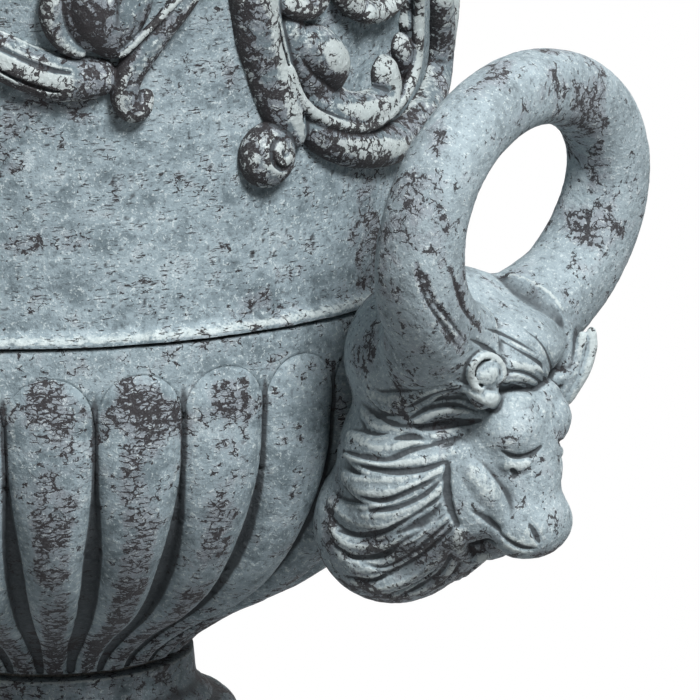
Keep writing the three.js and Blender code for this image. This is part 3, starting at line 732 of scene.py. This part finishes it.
def ring_station(angle):
    """Centre, both cross directions and half sizes of the ring at an angle round it."""
    s, c = math.sin(angle), math.cos(angle)
    h = RING_HALF_HEIGHT * s * (RING_DROP if s < 0 else 1)
    rise = (s + 1) / 2
    centre = np.array([RING_REACH + h * math.sin(RING_LEAN) - RING_HOOK * h * h, RING_HALF_WIDTH * c,
                       RING_RISE + h * math.cos(RING_LEAN)])
    slope = math.sin(RING_LEAN) - 2 * RING_HOOK * h
    along = np.array([RING_HALF_HEIGHT * c * slope, -RING_HALF_WIDTH * s,
                      RING_HALF_HEIGHT * c * math.cos(RING_LEAN)])
    along /= np.linalg.norm(along)
    out = np.array([math.cos(RING_LEAN), 0, -slope])
    out -= (out @ along) * along
    out /= np.linalg.norm(out)
    width, depth = (low + (high - low) * rise for low, high in zip(RING_FOOT, RING_TOP))
    return centre, np.cross(along, out), out, width, depth


def add_ring(field, blend):
    """The ring: a thick band with soft corners, swept round its arch."""
    n = RING_STEPS
    reach = max(RING_FOOT) + blend
    stations = [ring_station(a) for a in np.linspace(-RING_TIP, math.pi + RING_TIP, n + 1)]
    centre, across, out, width, depth = (np.array(column) for column in zip(*stations))
    s, xyz = field.window(centre.min(0) - reach, centre.max(0) + reach)
    shape = field.d[s].shape
    p = np.stack([np.broadcast_to(axis, shape).ravel() for axis in xyz], -1)

    def round_the_ring(y, z):
        a = np.arctan2(z - RING_RISE, y)
        return np.where(a < -math.pi / 2, a + 2 * math.pi, a)

    place = np.interp(round_the_ring(p[:, 1], p[:, 2]), round_the_ring(centre[:, 1], centre[:, 2]),
                      np.arange(n + 1))

    def read(table, q):
        i = np.clip(q.astype(int), 0, n - 1)
        f = (q - i)[:, None] if table.ndim > 1 else q - i
        return table[i] * (1 - f) + table[i + 1] * f

    near = np.linalg.norm(p - read(centre, place), axis=1) < reach + 2
    q, place = p[near], place[near]
    for _ in range(5):
        i = np.clip(place.astype(int), 0, n - 1)
        step = centre[i + 1] - centre[i]
        place = np.clip(place + 0.9 * ((q - read(centre, place)) * step).sum(1) / (step ** 2).sum(1), 0, n)
    e = q - read(centre, place)
    u = (e * read(across, place)).sum(1)
    v = (e * read(out, place)).sum(1)
    w, d = read(width, place), read(depth, place)
    past_end = np.maximum((e ** 2).sum(1) - u * u - v * v, 0) * ((place <= 0) | (place >= n))
    corner = 1 + RING_RIDGE * np.cos(4 * (np.arctan2(v / d, u / w) - rad(45)))
    gap = (np.hypot(u / w, v / d) - corner) * (w + d) / 2
    gap = np.sqrt(np.maximum(gap, 0) ** 2 + past_end) + np.minimum(gap, 0)
    full = np.full(len(p), FAR, np.float32)
    full[near] = gap
    field.add(full.reshape(shape), s, blend)


# Swellings of the head: centre, half sizes, blend, and whether it has a twin on the other side
HEAD = [
    ([256, 0, -19], [48, 54, 45], 6, False),            # skull
    ([288, 0, -12], [31, 44, 22], 8, False),            # hair over the forehead
    ([250, 0, -76], [47, 55, 56], 8, False),            # mane
    ([227, 0, -109], [40, 50, 43], 8, False),           # beard of the mane
    ([279, 46, -2], [23, 24, 24], 9, True),             # hair round the ring's ends
    ([286, 0, -68], [30, 32, 44], 8, False),            # face
    ([307, 12.5, -48.5], [15, 17, 15.5], 9, True),      # brows
    ([311, 0, -80], [13, 15, 32], 10, False),           # bridge of the nose
    ([309, 10, -101], [16, 15, 15], 10, True),          # muzzle
    ([314, 0, -100], [12, 13, 14], 8, False),           # nose
    ([283, 0, -112], [14, 15, 10.5], 5, False),         # chin
    ([284, 27, -82], [20, 13, 26], 9, True),            # cheeks
    ([305, 35, -21], [8, 9, 14], 5, True),              # ears
]

# Enlarged view of the mask: its corner in the picture, and its scale
VIEW_CORNER = (312, 254)
VIEW_SCALE = 4.05


def spots(places):
    """Places of the enlarged view as places of the picture."""
    return np.array(VIEW_CORNER) + np.array(places) / VIEW_SCALE


# Locks of hair: line of the crest, width, height
MANE = [
    ([(690, 650), (590, 625), (480, 640), (390, 690), (280, 700), (210, 640)], 14, 3.6),
    ([(600, 712), (500, 742), (390, 770), (270, 790), (150, 745)], 15, 4.2),
    ([(570, 800), (450, 830), (340, 850), (220, 845), (140, 800)], 13, 3.8),
    ([(545, 855), (430, 925), (320, 960), (200, 945), (130, 900)], 16, 4.4),
    ([(550, 930), (430, 1015), (290, 1070), (160, 1060), (80, 1000)], 17, 4.6),
    ([(555, 1000), (440, 1105), (300, 1165), (160, 1175), (80, 1110)], 15, 4.0),
    ([(560, 1060), (450, 1170), (320, 1240), (190, 1265), (110, 1215)], 14, 3.8),
    ([(570, 1120), (480, 1230), (370, 1310), (250, 1345), (170, 1320)], 13, 3.6),
    ([(590, 1180), (520, 1290), (430, 1350), (330, 1390)], 12, 3.2),
    ([(640, 1225), (590, 1290), (500, 1345)], 9, 2.6),
    ([(610, 540), (500, 555), (400, 590), (300, 600), (230, 560)], 13, 3.0),
]
# Grooves: between the locks, in the hair over the forehead, and down the ring's near limb
PARTINGS = [
    [(600, 548), (520, 568), (450, 596), (392, 620)], [(668, 640), (580, 612), (480, 624), (400, 662)],
    [(685, 672), (560, 692), (450, 702), (350, 694), (262, 655)],
    [(592, 742), (500, 770), (400, 796), (300, 832), (205, 820), (125, 798)],
    [(545, 842), (450, 872), (350, 884), (250, 872), (165, 850)],
    [(545, 884), (480, 924), (400, 964), (290, 1002), (190, 985)],
    [(552, 962), (420, 1062), (300, 1122), (200, 1142), (100, 1120)],
    [(555, 1042), (400, 1152), (280, 1222), (180, 1230), (92, 1180)],
    [(562, 1078), (430, 1202), (300, 1272), (200, 1252)],
    [(565, 1112), (460, 1212), (350, 1282), (240, 1322), (142, 1310)],
    [(572, 1202), (522, 1292), (432, 1352), (330, 1408)],
    [(540, 900), (440, 985), (330, 1030), (230, 1040)], [(500, 760), (420, 740), (330, 745)],
    [(552, 1010), (470, 1085), (380, 1130)], [(556, 980), (490, 1050), (400, 1110), (300, 1150)],
]
# Locks over the brow
FRINGE = [
    ([(560, 520), (640, 550), (720, 588), (800, 580), (870, 552), (930, 560), (962, 596)], 7, 3.0),
    ([(770, 450), (840, 455), (910, 485), (955, 540)], 7, 2.0),
    ([(740, 500), (820, 500), (890, 520), (940, 560)], 6, 2.0),
]
STRANDS = [
    [(640, 345), (700, 375), (760, 420), (800, 450)], [(770, 350), (850, 395), (920, 440), (960, 500)],
    [(860, 300), (930, 360), (965, 430), (975, 500)], [(900, 470), (945, 505), (968, 560)],
    [(780, 475), (850, 480), (915, 510), (950, 550)], [(760, 525), (830, 525), (890, 540), (935, 575)],
    [(700, 300), (790, 330), (880, 380), (930, 420)],
]
RING_CRACKS = [
    [(425, 40), (440, 120), (470, 200), (540, 300), (600, 390)],
    [(560, 60), (590, 150), (620, 230), (680, 300)],
    [(455, 90), (490, 190), (560, 270), (620, 350)],
]


def traced(base, places, rows=10, step=2.0, leap=12.0, spacing=1.6):
    """A line of the enlarged view laid on the head, up to where it would leap to a part behind."""
    p = seen_at(base, even(catmull(spots(places), rows), step))
    jump = np.r_[0, np.linalg.norm(np.diff(p, axis=0), axis=1)] > leap
    if jump.any():
        p = p[:int(np.argmax(jump))]
    return even(p, spacing) if len(p) > 3 else None


def lock(field, base, places, width, height, seed, twins):
    """A lock: a broad swelling with a few finer strands that meet at its tips."""
    rng = np.random.default_rng(seed)
    p = traced(base, places, 12, 3.5, 25, 3.0)
    if p is None:
        return
    n = base.normals(p)
    along = np.gradient(p, axis=0)
    along /= np.linalg.norm(along, axis=1)[:, None]
    aside = np.cross(along, n)
    t = np.linspace(0, 1, len(p))
    swell = np.sqrt(np.clip(np.sin(np.pi * np.clip(t, 0.04, 0.93)), 0, 1))
    body = p + n * ((height - 0.3 - 0.42 * width) * swell - 1)[:, None]
    for m in twins:
        field.worm(body * [1, m, 1], width * 0.42 * swell, 3)
    count = max(2, int(round(width / 4.6)))
    for j in range(count):
        o = (j + 0.5) / count * 2 - 1
        wave = 0.9 * np.sin(t * 7 + rng.uniform(0, 6)) + rng.uniform(-0.6, 0.6)
        lateral = o * width / 2 * swell + wave
        lift = height * (1 - 0.6 * o * o) * swell * rng.uniform(0.7, 1.05) - 2.0
        thick = (2.4 + 0.5 * rng.uniform(-1, 1)) * (0.4 + 0.6 * swell)
        q = p + aside * lateral[:, None] + n * lift[:, None]
        for m in twins:
            field.worm(q * [1, m, 1], thick, 1.2)


def stroke(field, base, places, radius, away, blend, cut=True, twins=BOTH):
    """A groove or a ridge along a line of the enlarged view, so many mm away from the head."""
    p = traced(base, places)
    if p is None:
        return
    thin, end = (0.0, 0.06) if cut else (0.4, 0.0)
    t = np.clip(np.linspace(0, 1, len(p)), end, 1 - end)
    thick = radius * (thin + (1 - thin) * np.sqrt(np.clip(np.sin(np.pi * t), 0, 1)))
    q = p + base.normals(p) * away
    for m in twins:
        field.worm(q * [1, m, 1], thick, blend, cut)


# Strokes that model the face: line, radius, distance out from the face, blend, whether it is a cut
FACE = [
    ([(775, 640), (810, 600), (870, 585), (930, 600), (965, 650)], 3.5, -2.8, 4, False),    # brow
    ([(768, 800), (830, 826), (890, 812), (930, 780)], 1.2, 0.24, 2, True),         # under the brow
    ([(770, 845), (830, 858), (885, 845)], 2.2, -1.7, 3, False),                    # lower lid
    ([(806, 862), (822, 888), (818, 905)], 1.0, 0.3, 1.5, True),                    # tear line
    ([(640, 860), (690, 930), (750, 1010), (770, 1080)], 3.2, -2.6, 5, False),      # cheek
    ([(640, 1035), (700, 1070), (750, 1110), (766, 1135)], 1.3, 0.91, 2, True),     # fold of the cheek
    ([(762, 1136), (800, 1168), (850, 1192), (905, 1196)], 1.6, 0.16, 1, True),     # mouth
    ([(880, 1090), (905, 1130), (925, 1175)], 1.5, 0.3, 1.5, True),                 # nostril
    ([(650, 1175), (690, 1160), (735, 1172)], 3.2, 0.0, 1.5, True),                 # corner of the mouth
    ([(598, 1110), (590, 1180), (640, 1232), (710, 1215)], 4.0, -1.2, 2, False),    # lower lip
    ([(552, 850), (548, 960), (565, 1040), (592, 1100)], 1.2, 0.84, 2.5, True),     # edge of the mane
]


EAR = (702, 480)        # in the enlarged view
FAR_TUFT = [[(306, 36, -42), (313, 40, -30), (317, 43, -18), (318, 43, -8)],
            [(304, 32, -40), (311, 36, -26), (315, 39, -10)],
            [(303, 38, -40), (309, 44, -28), (313, 47, -14)]]


def ears(field, base):
    """Near ear: a low cup whose rim is open below. Far ear: upright tufts of hair."""
    at = seen_at(base, spots([EAR]))[0]
    n = base.normals(at[None])[0]
    turn = np.linspace(rad(-20), rad(245), 18)

    def oval(turn, wide, high, lift):
        places = np.stack([EAR[0] + wide * np.cos(turn), EAR[1] - high * np.sin(turn)], -1)
        return seen_at(base, spots(places)) + n * lift

    rim, shade = oval(turn, 64, 70, 1.6), oval(turn[4:], 52, 57, 1.5)
    field.egg(at - n * 4, [8.5, 8.5, 8.5], 2)
    field.worm(rim, 1.5, 2.2)
    field.worm(shade, np.linspace(0.6, 1.1, len(shade)), 1.0, True)
    for tuft in FAR_TUFT:
        line = catmull(tuft, 6)
        field.worm(line, np.linspace(4.6, 2.2, len(line)), 1.2)


def cut_urn(field, clearance=0.3):
    """Cuts the urn's own face out of the mask that is seated on it."""
    x, y, z = np.meshgrid(*field.axes, indexing="ij", sparse=True)
    r = np.sqrt(x * x + y * y)
    z = np.broadcast_to(z, field.d.shape)
    below = bowl_radius(np.minimum(z, BED), np.arctan2(y, x))
    urn = np.where(z > 5, bell_radius(np.clip(z, 6, 236)), np.where(z > BED, FILLET_RADIUS, below))
    field.cut((r - urn - clearance).astype(np.float32), np.s_[:, :, :], 0)


def near_lines(v, field, lines, reach):
    """1 at lines of the picture laid on the mask, fading to 0 at a reach from them."""
    laid = np.vstack([p for p in (traced(field, places) for places in lines) if p is not None])
    tree = KDTree(len(laid))
    for i, p in enumerate(laid):
        tree.insert(p, i)
    tree.balance()
    low, high = laid.min(0) - reach, laid.max(0) + reach
    value = np.zeros(len(v))
    for i in np.flatnonzero(((v > low) & (v < high)).all(1)):
        value[i] = 1 - min(tree.find(v[i])[2] / reach, 1)
    return value


def lion_black(v, n):
    """Black paint in streaks over the hair and the ring, with little of it on the face and more towards the
    bottom of the mane, and painted shade as more black on undersides.
    """
    ring = smoothstep(v[:, 2], 20, 40)
    face = smoothstep(v[:, 0], 285, 300) * (1 - ring)
    low = smoothstep(v[:, 2], -90, -140)
    streaks = patches(v * [1, 1, 0.6] + 20, 15, 0.0, 0.5)
    # painted shade: more black on undersides
    painted_shade_under = smoothstep(-n[:, 2], 0.1, 0.8)
    return 0.02 + 0.30 * streaks * (1 - 0.75 * face) + 0.18 * low + 0.14 * painted_shade_under


def lion_handle():
    """The mask and its ring: swellings, the ring, locks, partings, face and ears, then its seat."""
    field = Field([190, -114, -162], [350, 114, 148], 0.8)
    for at, size, blend, pair in HEAD:
        for m in BOTH if pair else NEAR:
            field.egg(np.array(at) * [1, m, 1], size, blend)
    bare = field.twin()
    add_ring(field, 8.0)
    base = field.twin()
    for i, (places, width, height) in enumerate(MANE):
        lock(field, base, places, width, height, 100 + i, BOTH)
    for i, (places, width, height) in enumerate(FRINGE):
        lock(field, base, places, width, height, 200 + i, BOTH if i == 0 else NEAR)
    combed = field.twin()
    for places in PARTINGS:
        stroke(field, combed, places, 1.7, 0.255, 1.2)
    for places in STRANDS:
        stroke(field, combed, places, 0.95, 0.095, 1.0, twins=NEAR)
    for places in RING_CRACKS:
        stroke(field, combed, places, 1.1, 0.33, 1.0, twins=NEAR)
    for places, radius, away, blend, cut in FACE:
        stroke(field, bare, places, radius, away, blend, cut)
    ears(field, base)
    cut_urn(field)

    def blackened(v, n):
        return lion_black(v, n) + 0.5 * near_lines(v, combed, RING_CRACKS, 3.2)

    return weathered(field, "lion_handle_right", blackened)


# ---- Materials ----

class Number:
    """A value that varies over a surface; arithmetic on it makes math nodes."""

    def __init__(self, nodes, socket):
        self.nodes, self.socket = nodes, socket

    def __add__(self, other):
        return self.nodes.math("ADD", self, other)

    def __sub__(self, other):
        return self.nodes.math("SUBTRACT", self, other)

    def __mul__(self, other):
        return self.nodes.math("MULTIPLY", self, other)

    def step(self, low, high):
        """A soft step from 0 at low to 1 at high, whichever of them is greater."""
        node = self.nodes.add("MapRange", settings={"interpolation_type": "SMOOTHSTEP"},
                              Value=self, From_Min=low, From_Max=high)
        return Number(self.nodes, node.outputs["Result"])


class Nodes:
    """A node tree of a material or a world, with one short call for each kind of node."""

    def __init__(self, owner):
        owner.use_nodes = True
        self.owner, self.tree = owner, owner.node_tree

    def link(self, value, socket):
        """Links a socket or a number that varies, or sets a constant."""
        if isinstance(value, Number):
            value = value.socket
        if isinstance(value, bpy.types.NodeSocket):
            self.tree.links.new(value, socket)
        else:
            socket.default_value = (*value, 1.0) if socket.type == "RGBA" else value

    def add(self, kind, *first, settings={}, **named):
        """A node with its inputs linked or set, in order or by name."""
        node = self.tree.nodes.new("ShaderNode" + kind)
        for key, value in settings.items():
            setattr(node, key, value)
        for value, socket in zip(first, node.inputs):
            self.link(value, socket)
        for key, value in named.items():
            self.link(value, node.inputs[key.replace("_", " ")])
        return node

    def math(self, kind, a, b, clamp=False):
        node = self.add("Math", a, b, settings={"operation": kind, "use_clamp": clamp})
        return Number(self, node.outputs[0])

    def blend(self, amount, a, b):
        """A mix of two shaders."""
        return self.add("MixShader", amount, a.outputs[0], b.outputs[0])

    def seen_directly(self):
        """1 for what the camera sees, also in a mirror or through glass."""
        path = self.add("LightPath").outputs
        seen = path["Is Camera Ray"]
        for kind in ("Is Glossy Ray", "Is Transmission Ray"):
            seen = self.math("MAXIMUM", seen, path[kind])
        return seen


class Surface(Nodes):
    """A material's node tree."""

    def __init__(self, name):
        super().__init__(bpy.data.materials.new(name))
        self.place = self.add("TexCoord").outputs["Object"]
        self.shader = self.tree.nodes["Principled BSDF"]

    def noise(self, size, detail=3.0, roughness=0.55, distortion=0.0, place=None):
        """Noise whose largest blotches are about size metres across."""
        node = self.add("TexNoise", Vector=self.place if place is None else place, Scale=1 / size,
                        Detail=detail, Roughness=roughness, Distortion=distortion)
        return Number(self, node.outputs["Fac"])

    def bent(self, place, waves):
        """Places pushed about by noise of given sizes and amounts."""
        for size, amount in waves:
            noise = self.add("TexNoise", Vector=self.place, Scale=1 / size, Detail=2.0)
            push = self.add("VectorMath", noise.outputs["Color"], (2 * amount,) * 3, place,
                            settings={"operation": "MULTIPLY_ADD"})
            place = push.outputs[0]
        return place

    def cells(self, size, place):
        """Distance from the edges of irregular cells of about a size."""
        node = self.add("TexVoronoi", settings={"feature": "DISTANCE_TO_EDGE"}, Vector=place,
                        Scale=1 / size)
        return Number(self, node.outputs["Distance"])

    def stretched(self, scale):
        return self.add("Mapping", Vector=self.place, Scale=scale).outputs[0]

    def value(self, name):
        """A per-point number of the mesh."""
        return Number(self, self.add("Attribute", settings={"attribute_name": name}).outputs["Fac"])

    def mix(self, amount, a, b):
        """A mix of two colours."""
        node = self.add("Mix", settings={"data_type": "RGBA"}, Factor=amount, A=a, B=b)
        return node.outputs["Result"]

    def bump(self, height, distance, strength=1.0):
        return self.add("Bump", Height=height, Distance=distance, Strength=strength).outputs[0]

    def shade(self, **inputs):
        """Links or sets inputs of the shader, and gives the finished material."""
        for key, value in inputs.items():
            self.link(value, self.shader.inputs[key.replace("_", " ")])
        return self.owner


WASH_DEEP, WASH, WASH_CHALK = (0.105, 0.140, 0.158), (0.225, 0.285, 0.315), (0.400, 0.470, 0.500)
PASTE = (0.190, 0.207, 0.232)
PEPPER, SALT = (0.050, 0.060, 0.068), (0.560, 0.630, 0.640)
# colours of the painted shade in hollows, and of the pale crests, which are partly rubbed wear and partly
# painted highlight
PAINTED_HOLLOW_SHADE, RUBBED_AND_HIGHLIGHT = (0.028, 0.033, 0.038), (0.560, 0.620, 0.610)
STONE_BLACK = (0.016, 0.014, 0.016)


def aged_stone(name, pale=0.0, brushed=0.0, blackness=1.0, dull=0.0):
    """Cast stone with a blue-grey wash, black paint worn off in crackled patches, painted shade in hollows,
    and pale edges that are partly rubbed wear and partly painted highlight.
    """
    g = Surface(name)
    # crest: painted shade in hollows, and wear with painted highlight on crests; the other value: black
    # paint, with painted shade in it on the ornaments and the mask
    crest, soot = g.value("crest"), g.value("soot")
    flowing = g.stretched((1.0, 1.0, 2.6)) if brushed else g.place
    broad = g.noise(0.045, 5, 0.66, place=flowing)
    middle = g.noise(0.012, 5, 0.62, 0.3)
    fine = g.noise(0.0030, 4, 0.68, 0.2)
    grain = g.noise(0.0011, 2, 0.7)

    # wash: slow clouds of tone, then finer mottling
    tone = broad * 0.5 + middle * 0.5
    colour = g.mix(tone.step(0.36, 0.53), WASH_DEEP, WASH)
    colour = g.mix(tone.step(0.50, 0.64) * 0.60, colour, WASH_CHALK)
    if pale:
        colour = g.mix(pale, colour, WASH_CHALK)
    if dull:
        colour = g.mix(dull, colour, WASH_DEEP)

    # paste left under the black paint: greyer and duller
    patchy = soot + middle * 1.5 - 0.75
    colour = g.mix(patchy.step(0.05, 0.45) * 0.75, colour, PASTE)

    # pepper and salt of the worn surface
    colour = g.mix((grain * 0.35 + fine).step(0.62, 0.50) * 0.50, colour, PEPPER)
    colour = g.mix((grain * 0.9 + fine).step(1.04, 1.16) * 0.55, colour, SALT)

    # painted shade darkening the hollows, broken up by noise; pale edges on crests, partly rubbed wear and
    # partly painted highlight
    colour = g.mix((middle * 0.8 - 0.4 - crest).step(0.05, 0.60) * 0.90, colour, PAINTED_HOLLOW_SHADE)
    colour = g.mix((fine * 1.6 - 0.8 + crest).step(0.35, 0.85) * 0.55, colour, RUBBED_AND_HIGHLIGHT)

    # black paint: a torn network of cracks, thicker where more of it is left
    bent = g.bent(flowing, ((0.007, 0.0055), (0.0016, 0.0016)))
    torn = g.noise(0.0050, 3, 0.7)
    width = g.math("MULTIPLY", torn * 1.4 - 0.82 + patchy, 0.25, clamp=True)
    network = g.math("MINIMUM", g.cells(0.0105, bent), g.cells(0.0048, bent) + 0.03)
    lines = (network - width).step(0.012, -0.012) * width.step(0.001, 0.012)
    blotch = (torn * 1.6 - 0.8 + patchy).step(0.80, 0.92)
    # short scratches that follow the brush
    scratch = g.noise(0.0030, 3, 0.6, place=g.stretched((0.55, 0.55, 3.2)))
    worn = (middle * 0.35 + scratch).step(0.785, 0.86)
    cover = g.math("MAXIMUM", g.math("MAXIMUM", lines, blotch), worn * brushed)
    cover = cover * (grain.step(0.66, 0.50) * 0.14 + 0.84 * blackness)
    height = fine + grain * 0.35 - cover * 0.25
    return g.shade(Base_Color=g.mix(cover, colour, STONE_BLACK), Roughness=fine * -0.25 + 0.92,
                   Specular_IOR_Level=0.35, Normal=g.bump(height, 0.0011, 0.85))


def bedding_mortar():
    g = Surface("bedding mortar")
    sand, stain = g.noise(0.0016, 4, 0.7), g.noise(0.02, 3)
    colour = g.mix(sand.step(0.35, 0.65), (0.10, 0.098, 0.09), (0.30, 0.29, 0.265))
    colour = g.mix(stain.step(0.5, 0.7) * 0.6, colour, (0.03, 0.03, 0.03))
    return g.shade(Base_Color=colour, Roughness=0.95, Normal=g.bump(sand, 0.0008))


def zinc_steel():
    g = Surface("zinc plated steel")
    spangle, rust = g.noise(0.006, 3), g.noise(0.011, 5, 0.7).step(0.60, 0.70)
    scratch = g.noise(0.001, 3, place=g.stretched((1.0, 1.0, 6.0)))
    colour = g.mix(spangle.step(0.35, 0.65), (0.40, 0.42, 0.43), (0.62, 0.64, 0.65))
    colour = g.mix(rust * 0.6, colour, (0.19, 0.075, 0.03))
    return g.shade(Base_Color=colour, Metallic=rust * -0.8 + 1.0, Roughness=scratch * 0.35 + 0.25,
                   Normal=g.bump(scratch, 0.0001))


# ---- Camera, light and floor ----

# azimuth and elevation in degrees, distance and size in metres, power in watts
LAMPS = {
    "key": (-29, 42, 2.6, 0.7, 110),
    "front": (-70, 30, 2.8, 1.2, 5),
    "back": (152, 45, 2.8, 1.2, 62),
    "back side": (90, 40, 2.8, 1.2, 30),
}
LAMPS_AIM = Vector((0.1, 0.0, 0.4))
WORLD_LIGHT = 0.085
WHITE = (1, 1, 1)
FLOOR_RADIUS = 3.2
FLOOR_DROP = 0.0005                     # below the plinth's underside
FLOOR_SEEN, FLOOR_CARPET = 0.82, 0.25   # grey of the floor, and of a carpet that lights the urn less
SHADOW_NEAR, SHADOW_FAR = 0.26, 0.47    # the floor turns to plain white between these distances


def camera():
    data = bpy.data.cameras.new("camera")
    data.lens, data.sensor_width, data.clip_end = FOCAL, FILM, 100
    ob = placed("camera", data)
    ob.matrix_world = Matrix.Translation(Vector(EYE + [0, 0, SEAM]) * MM) @ camera_turn
    bpy.context.scene.camera = ob


def lights():
    """Soft round lamps aimed at the urn."""
    for name, (azimuth, elevation, distance, size, power) in LAMPS.items():
        data = bpy.data.lights.new(name, "AREA")
        data.shape, data.size, data.energy = "DISK", size, power
        a, e = rad(azimuth), rad(elevation)
        away = Vector((math.cos(a) * math.cos(e), math.sin(a) * math.cos(e), math.sin(e)))
        ob = placed(name, data)
        ob.location = LAMPS_AIM + distance * away
        ob.rotation_euler = (-away).to_track_quat("-Z", "Y").to_euler()


def world():
    """White where it is seen directly, and a faint even light for everything else."""
    g = Nodes(bpy.data.worlds.new("studio"))
    bpy.context.scene.world = g.owner
    plain = g.tree.nodes["Background"]
    g.link(WHITE, plain.inputs["Color"])
    g.link(WORLD_LIGHT, plain.inputs["Strength"])
    white = g.add("Background", WHITE, 1.0)
    mix = g.blend(g.seen_directly(), plain, white)
    g.link(mix.outputs[0], g.tree.nodes["World Output"].inputs["Surface"])


def floor():
    """A pale floor that keeps the urn's shadow and turns to white further off."""
    around = np.linspace(0, 2 * np.pi, 96)[:-1]
    mesh = bpy.data.meshes.new("floor")
    mesh.from_pydata([(FLOOR_RADIUS * math.cos(a), FLOOR_RADIUS * math.sin(a), -FLOOR_DROP) for a in around],
                     [], [list(range(len(around)))])
    g = Surface("pale floor")
    g.shade(Base_Color=(FLOOR_SEEN,) * 3, Roughness=0.9)
    carpet = g.add("BsdfDiffuse", (FLOOR_CARPET,) * 3)
    near = g.blend(g.seen_directly(), carpet, g.shader)
    distance = g.add("VectorMath", g.place, settings={"operation": "LENGTH"}).outputs["Value"]
    far = g.seen_directly() * Number(g, distance).step(SHADOW_NEAR, SHADOW_FAR)
    mix = g.blend(far, near, g.add("Emission", WHITE, 1.0))
    g.link(mix.outputs[0], g.tree.nodes["Material Output"].inputs["Surface"])
    mesh.materials.append(g.owner)
    placed("floor", mesh)


# ---- Assembly ----

def dress(piece, material, *nodes):
    """Puts a piece in the place of the construction's nodes."""
    piece.data.materials.clear()
    piece.data.materials.append(material)
    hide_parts(*nodes)
    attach(piece, "root")


camera()
world()
lights()
floor()

body_stone = aged_stone("aged stone, upper body", brushed=1.0)
bowl_stone = aged_stone("aged stone, bowl", brushed=0.3)
scroll_stone = aged_stone("aged stone, ornament", dull=0.95)
lion_stone = aged_stone("aged stone, mask", pale=0.24, blackness=0.95)

dress(upper_body(), body_stone, "upper_body")
dress(lower_bowl(), bowl_stone, "lower_bowl")
dress(foot(), bowl_stone, "foot")
dress(plinth(), bowl_stone, "plinth")

for piece, stone, nodes, sides in (
        (lion_handle(), lion_stone, ("lion_mask_{}", "ring_handle_{}"), ("right", "left")),
        (handle_scrolls(), scroll_stone, ("handle_scrolls_{}",), ("right", "left")),
        (front_scrolls(), scroll_stone, ("{}_scrolls",), ("front", "back"))):
    twin = turned_copy(piece, piece.name.replace(*sides))
    for dressed, side in ((twin, sides[1]), (piece, sides[0])):
        dress(dressed, stone, *(node.format(side) for node in nodes))

steel, mortar = zinc_steel(), bedding_mortar()
for name, node in frame["nodes"].items():
    if not node.hide_render:
        node.data.materials.clear()
        node.data.materials.append(mortar if "bedding" in name else steel)

bpy.context.scene.view_settings.view_transform = "Standard"
